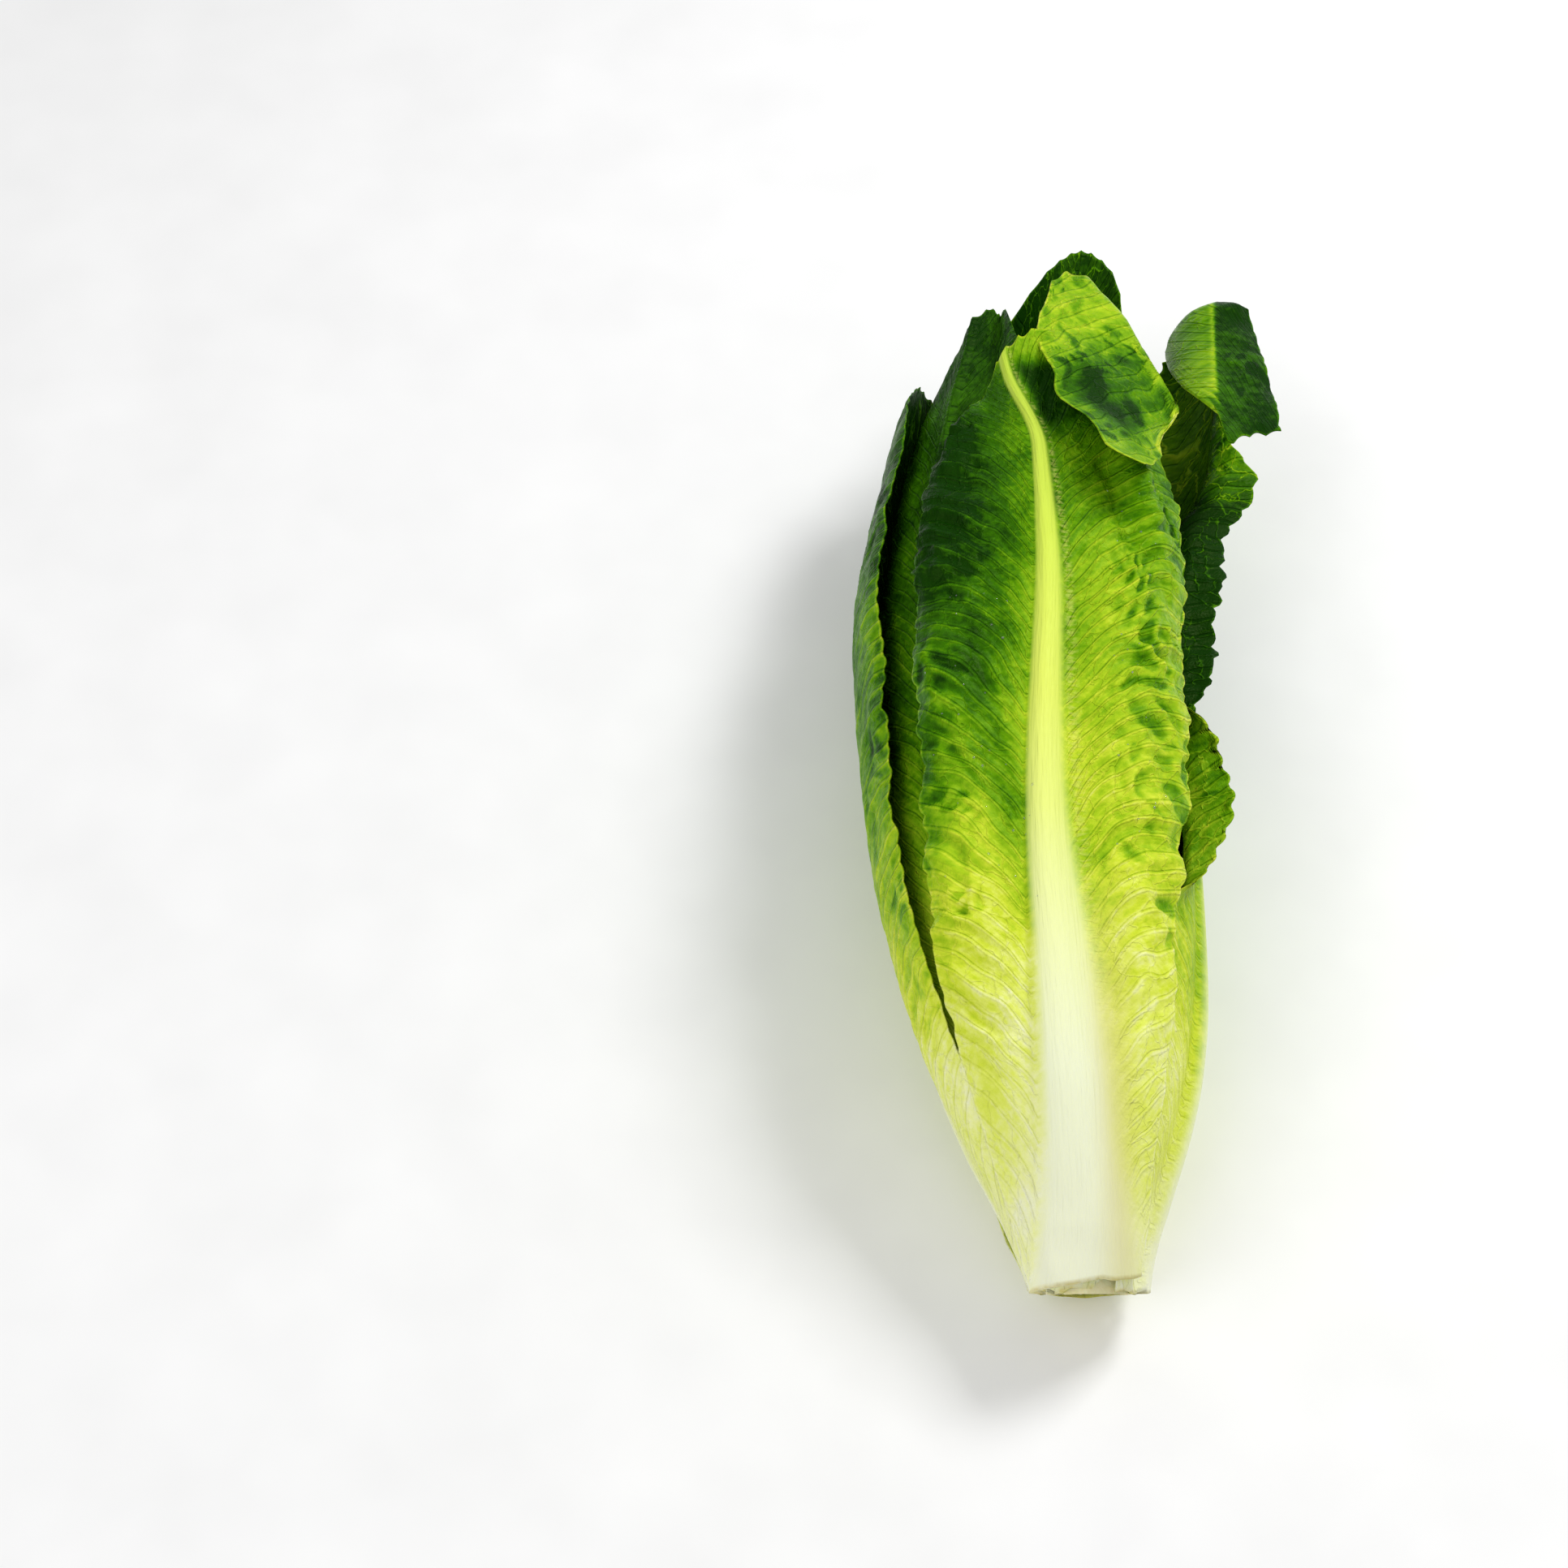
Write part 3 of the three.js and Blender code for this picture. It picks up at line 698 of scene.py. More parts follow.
def patterns(leaf):
    """A leaf's grid of points, and the patterns that its relief and its tones share."""
    u, across, s, start, end = grid(leaf)
    is_top = leaf.name == "top_leaf"
    from_rib = across + is_top * (amount(RIB_SWAY, s) + amount(RIB_ASIDE, s))
    rib_width, rib_shown = visible_rib(leaf, from_rib, s, is_top)
    vein = vein_place(leaf, from_rib, s)
    patchy = PATCHY + waves(PATCHES, across, s, leaf.index)
    jitter = waves(JITTER, across, s, leaf.index)
    nearest, second = cells(across / CELL_WIDTH + jitter, vein * CELL_LENGTH - jitter, leaf.index)
    crinkled = noise(across / CRINKLE_WIDTH + jitter, CRINKLE_LENGTH * vein, leaf.index + CRINKLE_SEED)
    beyond, q, _ = from_line(HOOD, across, s)
    return SimpleNamespace(
        is_top=is_top, u=u, across=across, s=s, start=start, from_rib=from_rib, rib_width=rib_width,
        rib_shown=rib_shown, vein=vein, patchy=patchy, beyond=beyond, q=q,
        wave=0.5 + 0.5 * np.cos(2 * np.pi * vein),
        bowl=smooth(*CELL_WALLS, second - nearest) * patchy,
        crinkle=1 - CRINKLE_SHARPNESS * np.abs(crinkled),
        off_rib=smooth(*OFF_RIB, np.abs(from_rib) / rib_width),
        grown=smooth(*GROWN, s),
        outer=smooth(*OUTER, np.abs(from_rib) / (OUTER_WIDTH * half_width(leaf, s))),
        edge=np.minimum((1 - np.abs(u)) * half_width(leaf, s), (end - s) * TIP_LENGTH),
        hood=smooth(*HOOD_START, beyond) * is_top,
        covered=amount(COVERED, beyond, s) * is_top,
    )


# ---- the relief of a sheet ----
SHEET = 0.7  # the blade's thickness as it looks, within the model's thicker blade
THIN_MARGIN = 0.45  # the share of it that is left at the margin
MARGIN_THINS = (0, 4)
SHEET_START = 0.25  # its inner face lies this far outside the model's
RIB_FLANKS = (0.5, 0.8)  # how sharply the midrib's left and right flanks rise
VEIN_HEIGHT = 0.25
WAVE_HEIGHT = 0.35
BLISTER_HEIGHT = 0.8
CRINKLE_HEIGHT = 1.1
CALM_MARGIN = (0.5, (0.8, 1))  # the share of the relief lost towards the side margins
FLAT_TIP = (0.6, (0, 8))  # and on a folded tip
RUFFLE_RANGE = (0.7, 1)
RUFFLE_POWER = 1.3
RUFFLE_MIDDLE = 0.5
RUFFLE_APART = 4.7
# how the top leaf stands off the bundle: swellings (their middle and half width across, and their
# height, growing and fading along the leaf), a crease with a ridge beside it, and a lifted crest
SWELLINGS = ((-27, 15, (4.5, (40, 90), (250, 225))), (24, 20, (1.5, (60, 120))))
CREASES = ((-3.5, 25, 3.5), (2.0, 32, 4.0))  # height, middle and width across
CREASE_RANGES = (1, (168, 190), (216, 204))
CREASE_DRIFT = (5, (168, 206))
CREST_LIFT = (6, (236, 256), (16, 4))
HOOD_SWELL = 1.8


def top_leaf_shape(across, s):
    """How the upward leaf stands off the bundle."""
    lift = amount(CREST_LIFT, s, across)
    for middle, width, swelling in SWELLINGS:
        lift = lift + hump(across - middle, width) * amount(swelling, s, s)
    height, (start, end) = CREASE_DRIFT
    drift = height * np.clip((s - start) / (end - start), 0, 1)
    for height, middle, width in CREASES:
        away = (across - (middle - drift)) / width
        lift = lift + amount(CREASE_RANGES, s, s) * height * np.exp(-(away**2))
    return lift


def sheet_lift(leaf, at):
    """How far the sheet's inner face stands outside the model's: blisters, veins and ruffles."""
    vein_ridge = np.exp(-(((at.vein - np.round(at.vein)) * VEIN_SPACING) ** 2))
    raised = WAVE_HEIGHT * at.wave * at.patchy + BLISTER_HEIGHT * (1 - at.bowl) + CRINKLE_HEIGHT * at.crinkle
    raised = VEIN_HEIGHT * vein_ridge + at.outer * raised
    calm = (1 - at.covered) * (1 - amount(CALM_MARGIN, np.abs(at.u)))
    swells = at.outer * (1.0 + waves(SWELLS, at.across, at.s, leaf.index))
    ruffle = noise(at.s / RUFFLE_LENGTH, np.sign(at.u) * RUFFLE_APART, leaf.index + RUFFLE_SEED)
    ruffle = (RUFFLE_MIDDLE + ruffle) * smooth(*RUFFLE_RANGE, np.abs(at.u)) ** RUFFLE_POWER
    lift = at.grown * (leaf.relief * (at.off_rib * calm * raised + swells) + leaf.ruffle * ruffle)
    if leaf.folds:
        lift = lift * (1 - amount(FLAT_TIP, at.s - leaf.reach))
    if at.is_top:
        lift = lift + top_leaf_shape(at.across, at.s)
        lift = lift + HOOD_SWELL * at.hood * waves(HOOD_WAVES, at.across, at.s, leaf.index)
    return SHEET_START + lift


def sheet_thickness(leaf, at):
    blade = SHEET * (THIN_MARGIN + (1 - THIN_MARGIN) * smooth(*MARGIN_THINS, at.edge))
    flank = np.where(at.from_rib < 0, *RIB_FLANKS)
    return blade + rib_height(leaf, at.s) * hump(at.from_rib, at.rib_width) ** flank


# ---- the tones of a sheet ----
# greener in the relief's hollows and paler on its crests: painted shade and light that follow the relief
RELIEF_SHADE_AND_LIGHT = 0.08
RIB_PALES = (0.9, (90, 30))  # this much of the midrib's own colour is lost towards the tip
CUT_DEPTH = (0.9, 0.0)
# the top leaf has a greener trough left of the midrib, which widens along the leaf: partly the blade's own
# green, partly painted shade where the blade drops below the midrib
TROUGH_GREEN_AND_SHADE = (0.3, (60, 115))
TROUGH_FADES = (0.8, (180, 215))
TROUGH_WIDENS = (85, 140)
TROUGH_MIDDLE = 6
TROUGH_DRIFT = 8
TROUGH_WIDTH = 7
TROUGH_WIDENING = 6
# and greener or paler places: by how much, and where across from the midrib and along the leaf
FAR_LEFT = (0.38, (-12, -28), (38, 125))
# painted shade in the pocket between the midrib and the hood
SHADE_UNDER_HOOD = (0.3, (3, 8), (38, 27), (214, 228), (246, 240))
LEFT_OF_RIB = (-0.12, (-20, -9), (0, -1e-6), (5, 20), (85, 50))
TAN_AT = (11, 8)
TAN_RANGE = (95, 45)
BEAD_AT = (1.0, 0.35)
BEAD_RANGE = (40, 80)
# its hood is paler by the fold, greener along the line and on its flap, with a pale rim at its tip.
# Along the line it is paler at its upper end, painted light where the hood faces up; its flap's
# green is partly its inner face's own and partly painted shade under the overhang
HOOD_GREEN = 0.44
HOOD_ROOT = (-0.2, (242, 233))
HOOD_LIGHT_TO_SHADE = (0.16, (0.45, 0.75))
HOOD_FLAP_GREEN_AND_SHADE = (0.3, (22, 38), (0.6, 0.9))
HOOD_RIM = (-0.22, (9, 2), (0.55, 0.9))
# the open leaf's folded tip has two panels of different green, with a paler ridge between them
PAST_CURL = (279, 285)
PANEL_GREEN = 0.71
LEFT_PANEL = (0.26, (0.5, -0.5))
RIDGE_GREEN = 0.3
RIDGE_HALF_WIDTH = 0.4
PANEL_VEINS = 0.45


def top_leaf_green(green, at):
    """The top leaf's greenness, from that along its length, with painted shade in its trough, in the pocket
    under its hood and on the hood's flap, and painted light on the hood's upper end.
    """
    widened = smooth(*TROUGH_WIDENS, at.s)
    middle = TROUGH_MIDDLE + TROUGH_DRIFT * widened
    trough = hump(at.from_rib + middle, TROUGH_WIDTH + TROUGH_WIDENING * widened)
    # painted shade in the trough left of the midrib, on top of the blade's own green
    green = green + trough * amount(TROUGH_GREEN_AND_SHADE, at.s) * (1 - amount(TROUGH_FADES, at.s))
    green = green + amount(FAR_LEFT, at.from_rib, at.s)
    # painted shade under the hood, and a paler place left of the midrib
    for spot in (SHADE_UNDER_HOOD, LEFT_OF_RIB):
        green = green + amount(spot, at.from_rib, at.from_rib, at.s, at.s)
    # the hood's painted light at its upper end and painted shade on its flap, over the leaf's own green
    hooded = HOOD_GREEN + amount(HOOD_ROOT, at.s) + amount(HOOD_LIGHT_TO_SHADE, at.q)
    hooded = hooded + amount(HOOD_FLAP_GREEN_AND_SHADE, at.beyond, at.q) + amount(HOOD_RIM, at.edge, at.q)
    return green * (1 - at.hood) + hooded * at.hood


def panel_changes(at, green, vein):
    """The open leaf's greenness and veins, changed on the two panels of its folded tip."""
    ridge_across, ridge_along = np.array([TIP_RIDGE["start"], TIP_RIDGE["end"]]).T
    from_ridge = at.across - np.interp(at.s, ridge_along, ridge_across)
    panels = PANEL_GREEN + amount(LEFT_PANEL, from_ridge) - RIDGE_GREEN * hump(from_ridge, RIDGE_HALF_WIDTH)
    past_curl = smooth(*PAST_CURL, at.s)
    return green + past_curl * (panels - green), vein + PANEL_VEINS * past_curl * from_ridge


def sheet_looks(leaf, at):
    """What the leaf material reads on each point."""
    green = through(leaf.tones, at.s)
    vein = at.vein
    if at.is_top:
        green = top_leaf_green(green, at)
    if leaf.name == "open_leaf":
        green, vein = panel_changes(at, green, vein)
    relief = at.off_rib * at.grown * at.outer
    green = green + waves(TONE_WAVES, at.across, at.s, leaf.index)
    # painted shade in the relief's hollows and painted light on its ridges and crests
    green = green + RELIEF_SHADE_AND_LIGHT * relief * (0.5 - at.wave + 0.5 * (at.bowl - at.crinkle))
    pale_rib = leaf.pale_rib
    if not at.is_top:
        pale_rib = pale_rib * (1 - amount(RIB_PALES, leaf.tip - at.s))
    beside = hump(at.from_rib / at.rib_width - BEAD_AT[0], BEAD_AT[1]) * (at.from_rib > 0)
    return {
        "across": at.from_rib,
        "along": at.s,
        "rib": at.rib_shown * pale_rib,
        "vein": vein,
        "pit": relief * at.bowl,
        "edge": at.edge,
        "net": leaf.net + 0 * at.s,
        "green": green,
        "cut": smooth(*CUT_DEPTH, at.s - at.start),
        "tan": hump(at.from_rib - TAN_AT[0], TAN_AT[1]) * smooth(*TAN_RANGE, at.s) * at.is_top,
        "bead": beside * smooth(*BEAD_RANGE, at.s) * at.is_top,
    }


def leaf_sheet(leaf):
    """The outer and inner faces' points, and what the material reads on each."""
    at = patterns(leaf)
    lift = sheet_lift(leaf, at)
    inner_face = leaf_point(leaf, at.across, at.s, lift)
    outer_face = leaf_point(leaf, at.across, at.s, lift + sheet_thickness(leaf, at))
    return outer_face, inner_face, sheet_looks(leaf, at)


# ---- meshes ----
def add(name, data):
    """A new object in the scene."""
    made = bpy.data.objects.new(name, data)
    bpy.context.scene.collection.objects.link(made)
    return made


def quads(first, second, third, fourth):
    return np.stack([first, second, third, fourth], axis=-1).reshape(-1, 4)


def sheet_faces(rows, columns):
    """Quads of a closed sheet whose two grids of points follow one another."""
    at = np.arange(2 * rows * columns).reshape(2, rows, columns)
    top, under = at
    return np.concatenate([
        quads(top[:-1, :-1], top[:-1, 1:], top[1:, 1:], top[1:, :-1]),
        quads(under[:-1, :-1], under[1:, :-1], under[1:, 1:], under[:-1, 1:]),
        quads(top[:-1, 0], top[1:, 0], under[1:, 0], under[:-1, 0]),
        quads(top[:-1, -1], under[:-1, -1], under[1:, -1], top[1:, -1]),
        quads(top[0, :-1], under[0, :-1], under[0, 1:], top[0, 1:]),
        quads(top[-1, :-1], top[-1, 1:], under[-1, 1:], under[-1, :-1]),
    ])


def ring_faces(rings, sides, first_end, last_end):
    """Quads between rings of points, and fans from the first and the last ring to a point each."""
    around = np.arange(sides)
    ahead = (around + 1) % sides
    rows = sides * np.arange(rings - 1)[:, None]
    walls = quads(rows + around, rows + ahead, rows + sides + ahead, rows + sides + around)
    last = sides * (rings - 1)
    pairs = list(zip(around.tolist(), ahead.tolist()))
    fans = [[first_end, b, a] for a, b in pairs] + [[last_end, last + a, last + b] for a, b in pairs]
    return walls.tolist() + fans


def make_piece(name, points, faces, material, looks=None):
    """A smooth-shaded mesh from points in millimetres, riding on the heart."""
    mesh = bpy.data.meshes.new(name)
    mesh.from_pydata(((points + OFFSET) * MM).tolist(), [], list(map(list, faces)))
    for key, values in (looks or {}).items():
        attribute = mesh.attributes.new(key, "FLOAT", "POINT")
        attribute.data.foreach_set("value", values.astype(np.float32))
    mesh.shade_smooth()
    mesh.materials.append(material)
    piece = add(name, mesh)
    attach(piece, "root")
    return piece


def make_leaf(leaf, material):
    outer_face, inner_face, looks = leaf_sheet(leaf)
    points = np.concatenate([outer_face.reshape(-1, 3), inner_face.reshape(-1, 3)])
    points[:, 2] = np.maximum(points[:, 2], 0)
    doubled = {key: np.tile(values.ravel(), 2) for key, values in looks.items()}
    count = outer_face.shape[0] * outer_face.shape[1]
    doubled["face"] = np.repeat([1.0, 0.0], count)
    faces = sheet_faces(*outer_face.shape[:2])
    piece = make_piece(leaf.name + "_blade", points, faces, material, doubled)
    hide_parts(leaf.name)
    return outer_face


# ---- the stem ----
MODEL_STEM = (9, 16)  # rings and sides of the model's stem
STEM_RINGS = 60
STEM_SIDES = 96
RING_CROWDING = 1.5  # towards the cut
BUTT_INSET = 1.3
BUTT_RANGE = (6, 20)


def stem_points(s, sides, radius):
    """Rings of points round the axis, and the middles of the two ends."""
    theta = 2 * np.pi * np.arange(sides)[None, :] / sides
    rings = place(s + 0 * theta, theta + 0 * s, radius(s, theta))
    ends = [place(np.array(end), np.array(0.0), np.array(0.0)) for end in (0.0, STEM_LENGTH)]
    return np.concatenate([rings.reshape(-1, 3), ends])


def frame_offset():
    """From the plant's millimetres to the model's frame: the stem's box is in both."""
    rings, sides = MODEL_STEM
    s = np.linspace(0, STEM_LENGTH, rings)[:, None]
    own = stem_points(s, sides, lambda s, theta: stem_radius(s) + 0 * theta)
    low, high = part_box("stem")
    middle = (np.array(low) + np.array(high)) / 2 / MM
    return middle - (own.min(0) + own.max(0)) / 2


OFFSET = frame_offset()


def butt_width(s, theta):
    """The stem widens at the cut, where the leaves' feet grow out of it."""
    wide = envelope(np.zeros(1), theta) - BUTT_INSET
    return wide + (stem_radius(s) - wide) * smooth(*BUTT_RANGE, s)


def make_stem(material):
    s = STEM_LENGTH * np.linspace(0, 1, STEM_RINGS)[:, None] ** RING_CROWDING
    points = stem_points(s, STEM_SIDES, butt_width)
    faces = ring_faces(STEM_RINGS, STEM_SIDES, len(points) - 2, len(points) - 1)
    piece = make_piece("stem_core", points, faces, material)
    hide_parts("stem")


# ---- materials ----
def colour(red, green, blue):
    """A colour as seen on a screen, from 0 to 255, as the light it stands for."""
    values = []
    for channel in (red, green, blue):
        c = channel / 255
        values.append(c / 12.92 if c <= 0.04045 else ((c + 0.055) / 1.055) ** 2.4)
    return (*values, 1.0)


class Shade:
    """A material's node tree, built by calls that take sockets or numbers and return sockets."""

    def __init__(self, name):
        self.material = bpy.data.materials.new(name)
        self.material.use_nodes = True
        self.tree = self.material.node_tree
        self.shader = self.tree.nodes["Principled BSDF"]

    def put(self, socket, value):
        if isinstance(value, bpy.types.NodeSocket):
            self.tree.links.new(value, socket)
        else:
            socket.default_value = value

    def set(self, name, value):
        self.put(self.shader.inputs[name], value)

    def node(self, kind, inputs, output=0, **settings):
        node = self.tree.nodes.new(kind)
        for key, value in settings.items():
            setattr(node, key, value)
        for key, value in inputs.items():
            self.put(node.inputs[key], value)
        return node.outputs[output]

    def attribute(self, name):
        return self.node("ShaderNodeAttribute", {}, "Fac", attribute_name=name)

    def maths(self, operation, first, second=0.0, **settings):
        return self.node("ShaderNodeMath", {0: first, 1: second}, operation=operation, **settings)

    def plus(self, *values):
        return reduce(partial(self.maths, "ADD"), values)

    def minus(self, first, second, **settings):
        return self.maths("SUBTRACT", first, second, **settings)

    def times(self, *values):
        return reduce(partial(self.maths, "MULTIPLY"), values)

    def mix(self, share, first, second):
        return self.node("ShaderNodeMix", {0: share, 6: first, 7: second}, 2, data_type="RGBA")

    def span(self, value, start, end, low=0.0, high=1.0):
        inputs = {0: value, 1: start, 2: end, 3: low, 4: high}
        return self.node("ShaderNodeMapRange", inputs, interpolation_type="SMOOTHSTEP")

    def ramp(self, value, stops):
        node = self.tree.nodes.new("ShaderNodeValToRGB")
        elements = node.color_ramp.elements
        while len(elements) < len(stops):
            elements.new(1.0)
        for element, (position, *tint) in zip(elements, stops):
            element.position = position
            element.color = colour(*tint)
        self.put(node.inputs[0], value)
        return node.outputs[0]

    def vector(self, x, y, z=0.0):
        return self.node("ShaderNodeCombineXYZ", {0: x, 1: y, 2: z})

    def where(self):
        return self.node("ShaderNodeTexCoord", {}, "Object")

    def noise(self, vector, scale, detail=2.0):
        inputs = {"Vector": vector, "Scale": scale, "Detail": detail}
        return self.node("ShaderNodeTexNoise", inputs)

    def bump(self, height, distance, strength=1.0, normal=None):
        inputs = {"Height": height, "Distance": distance, "Strength": strength}
        if normal is not None:
            inputs["Normal"] = normal
        return self.node("ShaderNodeBump", inputs)


# the midrib's colours along a leaf, as (share of LEAF_LENGTH, red, green, blue) from 0 to 255
LEAF_LENGTH = 300.0
RIB_COLOURS = (
    (0.00, 240, 242, 214), (0.14, 244, 249, 212), (0.23, 239, 245, 180), (0.34, 229, 239, 130),
    (0.44, 222, 234, 104), (0.60, 208, 228, 84), (0.90, 176, 206, 62),
)
# and the blade's along its tones, from white to the darkest green
GREENS = (
    (0.00, 244, 246, 214), (0.10, 240, 244, 168), (0.22, 226, 236, 104), (0.34, 207, 223, 56),
    (0.46, 168, 200, 32), (0.58, 134, 178, 22), (0.70, 94, 148, 5), (0.82, 54, 108, 3), (1.00, 15, 54, 2),
)
WHITE = (1.0, 1.0, 1.0, 1.0)
TAN = colour(216, 208, 122)
BEADS = colour(222, 222, 116)
CUT = colour(216, 200, 112)

# noises: their scale, in waves per millimetre unless they are stretched, and detail
PATCH_NOISE = (0.09,)
FINE_NOISE = (0.7, 4)
TWIST_NOISE = (0.25,)
GRAIN_NOISE = (1.6, 3)
OWN_NOISE = (1, 3)
DASH_NOISE = (1,)
VEIN_STRETCH = (2.4, 0.16)  # waves per vein, and per millimetre across
DASH_STRETCH = (0.4, 1.1)
THREAD_STRETCH = (1.2, 0.07)
NET_LENGTH = 0.68
METRE_NOISE = (900, 3)  # in waves per metre

# spans: a value's start and end, and what it becomes there, 0 and 1 if nothing is said
PATCH_TONES = (0.25, 0.75, -0.06, 0.06)
STREAK_TONES = (0.25, 0.75, -0.06, 0.06)
STREAKS_FADE = (195, 245, 1, 0.15)
FINE_TONES = (0.25, 0.75, -0.05, 0.05)
MOTTLE_GROWS = (0, 75, 0.4, 1)
PIT_TONES = (0.15, 0.8)
BESIDE_RIB = (0.02, 0.2, 1, 0)
ON_VEIN = (0.38, 0.5)
VEINS_FADE = (195, 245, 1, 0.4)
IN_GROOVE = (0, 0.06, 1, 0)
ON_NET = (0, 0.045, 1, 0)
LINES_GROW = (10, 110, 0.35, 1)
AT_EDGE = (0.2, 0.8, 1, 0)
EDGE_GROWS = (60, 150, 0.3, 1)
RIB_BLEND = (0.02, 0.66)
DASHED = (0.42, 0.6)
BROWNED = (0.3, 0.7, 0.3, 0.8)
LEAF_ROUGHNESS = (0.2, 0.8, 0.24, 0.42)
ON_RIB = (0.1, 0.5)
RELIEF_GROWS = (40, 150, 0.5, 1)

# shares
# painted shade in the hollows of the blisters
PIT_SHADE = 0.2
INNER_GREEN = 0.13
NET_PALE = 0.18
VEIN_MIDDLE = 0.5
GROOVE_MIDDLE = 0.14
VEIN_PALER = 0.06
NET_PALER = 0.05
# painted shade in the groove beside each vein
GROOVE_SHADE = 0.09
EDGE_PALER = 0.15
TAN_SHARE = 0.5
BEAD_SHARE = 0.35
GRAIN_SHARE = 0.5
BEAD_HEIGHT = 0.4
# bumps: distance in metres, strength
GRAIN_BUMP = (0.0007, 0.65)
LINE_BUMP = (0.0005, 0.6)


class LeafShade(Shade):
    """The leaves' material, which reads the values that a leaf's mesh carries."""

    def __init__(self, name):
        super().__init__(name)
        self.across = self.attribute("across")
        self.along = self.attribute("along")
        self.rib = self.attribute("rib")
        self.vein = self.attribute("vein")
        self.face = self.attribute("face")
        self.inside = self.minus(1.0, self.face)
        self.blade = self.span(self.rib, *BESIDE_RIB)
        self.spot = self.vector(self.across, self.along, self.face)
        self.fine = self.noise(self.spot, *FINE_NOISE)
        self.streaks = self.noise(self.stretched(self.vein, self.across, VEIN_STRETCH, self.face), *OWN_NOISE)
        self.beaded = self.bead_dashes()
        self.on_vein, self.in_groove, self.on_net = self.vein_lines()
        self.set("Base Color", self.surface(self.tone()))
        self.set("Roughness", self.span(self.fine, *LEAF_ROUGHNESS))
        self.set("Normal", self.relief())

    def stretched(self, x, y, stretch, z=0.0):
        return self.vector(self.times(x, stretch[0]), self.times(y, stretch[1]), z)

    def bead_dashes(self):
        """Short dashes along the right side of the top leaf's midrib."""
        dashes = self.noise(self.stretched(self.across, self.along, DASH_STRETCH), *DASH_NOISE)
        return self.times(self.attribute("bead"), self.span(dashes, *DASHED))

    def vein_lines(self):
        """1 on a lateral vein, in the groove beside it, and on the finest veins between them."""
        part = self.maths("FRACT", self.vein)
        beside = self.maths("ABSOLUTE", self.minus(part, VEIN_MIDDLE))
        on_vein = self.times(self.span(beside, *ON_VEIN), self.span(self.along, *VEINS_FADE))
        groove = self.maths("ABSOLUTE", self.minus(part, GROOVE_MIDDLE))
        spot = self.vector(
            self.maths("DIVIDE", self.across, CELL_WIDTH), self.times(self.vein, NET_LENGTH), self.face
        )
        twist = self.noise(self.spot, *TWIST_NOISE)
        spot = self.node("ShaderNodeVectorMath", {0: spot, 1: self.vector(twist, twist)})
        inputs = {"Vector": spot, "Scale": 1.0}
        net = self.node("ShaderNodeTexVoronoi", inputs, "Distance", feature="DISTANCE_TO_EDGE")
        return on_vein, self.span(groove, *IN_GROOVE), self.span(net, *ON_NET)

    def tone(self):
        """The blade's place among the greens, with painted shade in its pits and in the grooves beside its
        veins.
        """
        patches = self.span(self.noise(self.spot, *PATCH_NOISE), *PATCH_TONES)
        streaked = self.times(self.span(self.streaks, *STREAK_TONES), self.span(self.along, *STREAKS_FADE))
        mottled = self.plus(patches, self.span(self.fine, *FINE_TONES), streaked)
        mottled = self.times(mottled, self.span(self.along, *MOTTLE_GROWS))
        # painted shade in the blisters' hollows
        pits = self.times(self.span(self.attribute("pit"), *PIT_TONES), PIT_SHADE)
        tone = self.plus(self.attribute("green"), mottled, pits, self.times(self.inside, INNER_GREEN))

        inner_net = self.times(self.inside, self.on_net, self.times(self.attribute("net"), NET_PALE))
        paler = self.plus(self.times(self.on_vein, VEIN_PALER), self.times(self.on_net, NET_PALER), inner_net)
        lined = self.times(self.blade, self.span(self.along, *LINES_GROW))
        tone = self.minus(tone, self.times(paler, lined))
        # painted shade in the groove beside each vein
        tone = self.plus(tone, self.times(self.in_groove, lined, GROOVE_SHADE))
        at_edge = self.times(self.span(self.attribute("edge"), *AT_EDGE), self.span(self.along, *EDGE_GROWS))
        return self.minus(tone, self.times(at_edge, EDGE_PALER), use_clamp=True)

    def surface(self, tone):
        """The colours of the blade and of what lies over it."""
        ribbed = self.ramp(self.maths("DIVIDE", self.along, LEAF_LENGTH), RIB_COLOURS)
        surface = self.mix(self.span(self.rib, *RIB_BLEND), self.ramp(tone, GREENS), ribbed)
        surface = self.mix(self.times(self.attribute("tan"), TAN_SHARE), surface, TAN)
        surface = self.mix(self.times(self.beaded, BEAD_SHARE), surface, BEADS)
        browned = self.times(self.attribute("cut"), self.span(self.fine, *BROWNED))
        return self.mix(browned, surface, CUT)

    def relief(self):
        """The grain of the blade and the threads of the midrib, and over them the lines and beads."""
        grain = self.plus(self.times(self.noise(self.spot, *GRAIN_NOISE), GRAIN_SHARE), self.streaks)
        threads = self.noise(self.stretched(self.across, self.along, THREAD_STRETCH), *OWN_NOISE)
        first = self.bump(self.mix(self.span(self.rib, *ON_RIB), grain, threads), *GRAIN_BUMP)
        lines = self.minus(self.plus(self.on_vein, self.on_net), self.in_groove)
        lines = self.times(lines, self.span(self.along, *RELIEF_GROWS), self.blade)
        lines = self.plus(lines, self.times(self.beaded, BEAD_HEIGHT))
        return self.bump(lines, *LINE_BUMP, first)


def leaf_material():
    shade = LeafShade("leaf")
    shade.set("Specular IOR Level", 0.07)
    shade.set("Specular Tint", colour(225, 255, 150))
    shade.set("Subsurface Weight", 0.08)
    shade.set("Subsurface Radius", (1.0, 1.0, 0.35))
    shade.set("Subsurface Scale", 0.0012)
    return shade.material


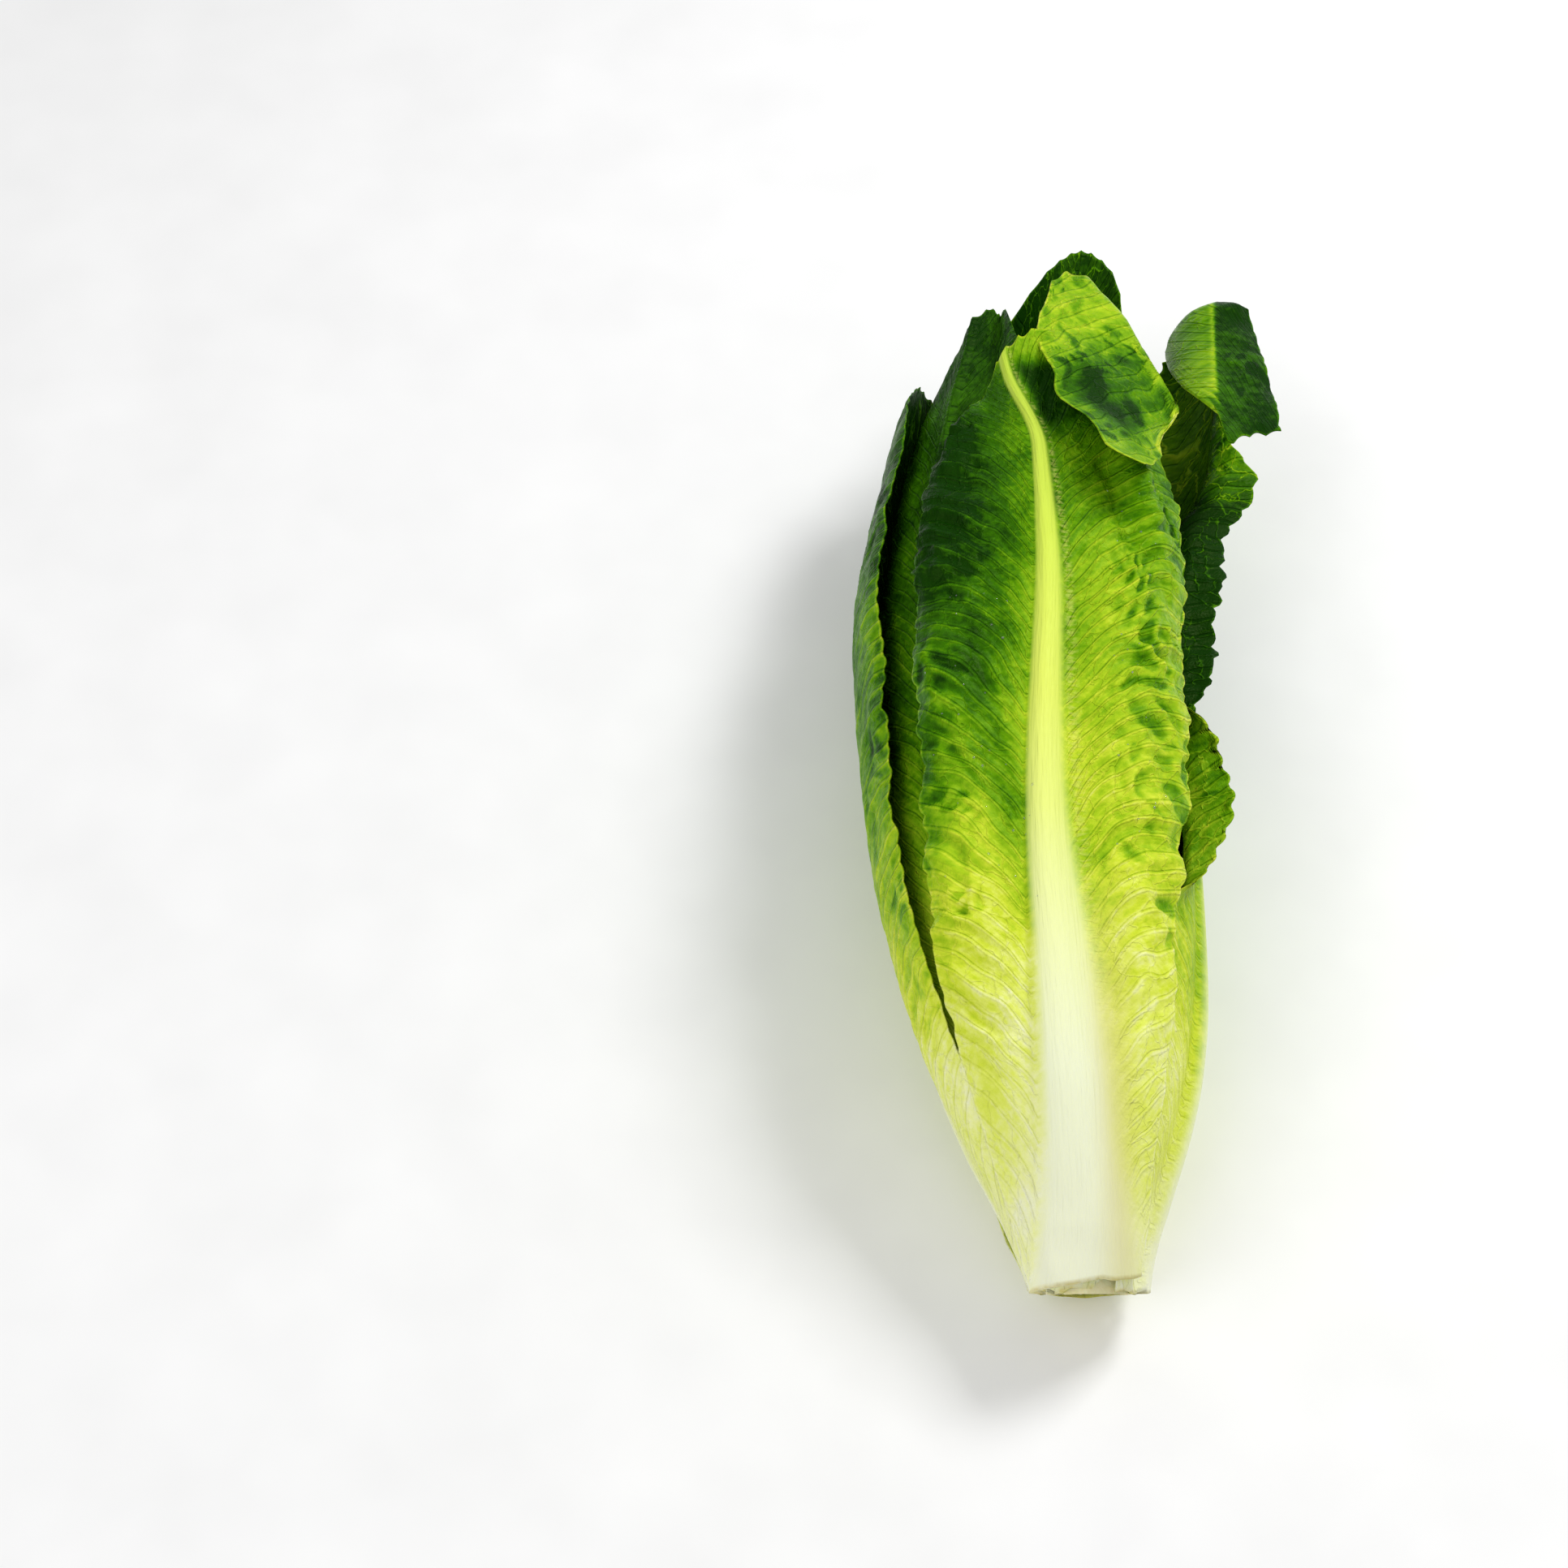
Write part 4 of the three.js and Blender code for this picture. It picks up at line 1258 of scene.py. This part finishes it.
def stem_material():
    shade = Shade("stem")
    fibres = shade.noise(shade.where(), *METRE_NOISE)
    shade.set("Base Color", shade.mix(fibres, colour(244, 242, 206), colour(230, 222, 160)))
    shade.set("Roughness", 0.4)
    shade.set("Subsurface Weight", 0.15)
    shade.set("Subsurface Scale", 0.002)
    shade.set("Normal", shade.bump(fibres, 0.0003, 0.5))
    return shade.material


# ---- drops of water on the upward leaf ----
DROPS = 70
DROP_SIZES = (0.2, 0.45)
SMALL_DROPS = 2.5
DROP_FLATNESS = 0.45  # the height of half a drop, in its radii
DROP_BASE = -0.2
DROP_RINGS = 4
DROP_SIDES = 10
DROP_ROWS = (0.3, 0.42)  # where they start on the leaf, and over how much of it they spread
DROP_COLUMNS = ((0.05, 0.62), 0.25)
WATER_ROUGHNESS = (0.3, 0.7, 0.0, 0.06)


def drop_mesh():
    """Half a ball of radius 1 on a shallow cone, whose point sinks into the leaf."""
    rise = np.linspace(0, np.pi / 2, DROP_RINGS, endpoint=False)[:, None]
    turn = 2 * np.pi * np.arange(DROP_SIDES)[None, :] / DROP_SIDES
    ring = np.stack([np.cos(rise) * np.cos(turn), np.cos(rise) * np.sin(turn), np.sin(rise) + 0 * turn], -1)
    points = np.concatenate([ring.reshape(-1, 3), [[0, 0, 1], [0, 0, DROP_BASE]]])
    return points, ring_faces(DROP_RINGS, DROP_SIDES, len(points) - 1, len(points) - 2)


def make_drops(outer_face, material):
    drop, drop_faces = drop_mesh()
    points = []
    faces = []
    rows, columns = outer_face.shape[:2]
    for number in range(DROPS):
        row = int(rows * (DROP_ROWS[0] + DROP_ROWS[1] * RANDOM.random()))
        column = int(columns * (RANDOM.choice(DROP_COLUMNS[0]) + DROP_COLUMNS[1] * RANDOM.random()))
        here = outer_face[row, column]
        along = outer_face[row + 1, column] - here
        aside = outer_face[row, column + 1] - here
        normal = unit(np.cross(aside, along))
        aside = unit(aside)
        size = DROP_SIZES[0] + (DROP_SIZES[1] - DROP_SIZES[0]) * RANDOM.random() ** SMALL_DROPS
        axes = np.array([aside, np.cross(normal, aside), normal * DROP_FLATNESS])
        points.append(here + size * drop @ axes)
        faces += [[number * len(drop) + corner for corner in face] for face in drop_faces]
    make_piece("water_drops", np.concatenate(points), faces, material)


def water_material():
    shade = Shade("water")
    shade.set("Base Color", WHITE)
    shade.set("Transmission Weight", 0.9)
    shade.set("IOR", 1.33)
    shade.set("Roughness", shade.span(shade.noise(shade.where(), METRE_NOISE[0]), *WATER_ROUGHNESS))
    return shade.material


# ---- the heart ----
leaf_finish = leaf_material()
for one in LEAVES:
    blade = make_leaf(one, leaf_finish)
    if one.name == "top_leaf":
        make_drops(blade, water_material())
make_stem(stem_material())


# ---- floor, light and camera ----
FLOOR_SIZE = 6.0
FLOOR_MOTTLE = 30.0
AIM = (0, 0, 0.05)
LIGHTS = (("key", (0.45, 0.35, 0.75), 0.3, 5), ("fill", (-0.7, -0.5, 0.9), 0.9, 5))  # place, size, power
DAYLIGHT = 0.5
CAMERA_TILT = 57 * DEGREE  # how far below the horizon the camera looks
CAMERA_PLACE = (-76.4, -326.6, 748.0)  # millimetres from the plant's own origin
LENS = 74.07
SENSOR = 36.0


def floor_material():
    shade = Shade("pale_floor")
    mottle = shade.noise(shade.where(), FLOOR_MOTTLE)
    shade.set("Base Color", shade.mix(mottle, colour(238, 238, 238), colour(250, 250, 250)))
    shade.set("Roughness", 0.6)
    return shade.material


def make_floor():
    mesh = bpy.data.meshes.new("floor")
    half = FLOOR_SIZE / 2
    corners = [(-half, -half, 0), (half, -half, 0), (half, half, 0), (-half, half, 0)]
    mesh.from_pydata(corners, [], [(0, 1, 2, 3)])
    mesh.materials.append(floor_material())
    add("floor", mesh)


def make_light(name, where, size, power):
    data = bpy.data.lights.new(name, "AREA")
    data.size = size
    data.energy = power
    light = add(name, data)
    light.location = where
    light.rotation_euler = (Vector(AIM) - Vector(where)).to_track_quat("-Z", "Y").to_euler()


def make_world():
    world = bpy.data.worlds.new("studio")
    bpy.context.scene.world = world
    world.use_nodes = True
    background = world.node_tree.nodes["Background"]
    background.inputs["Color"].default_value = WHITE
    background.inputs["Strength"].default_value = DAYLIGHT


def make_camera():
    data = bpy.data.cameras.new("camera")
    data.sensor_width = SENSOR
    data.lens = LENS
    camera = add("camera", data)
    camera.location = (np.array(CAMERA_PLACE) + OFFSET * [1, 1, 0]) * MM
    camera.rotation_euler = (math.pi / 2 - CAMERA_TILT, 0, 0)
    bpy.context.scene.camera = camera


make_floor()
make_world()
for light in LIGHTS:
    make_light(*light)
make_camera()
bpy.context.scene.view_settings.view_transform = "Standard"
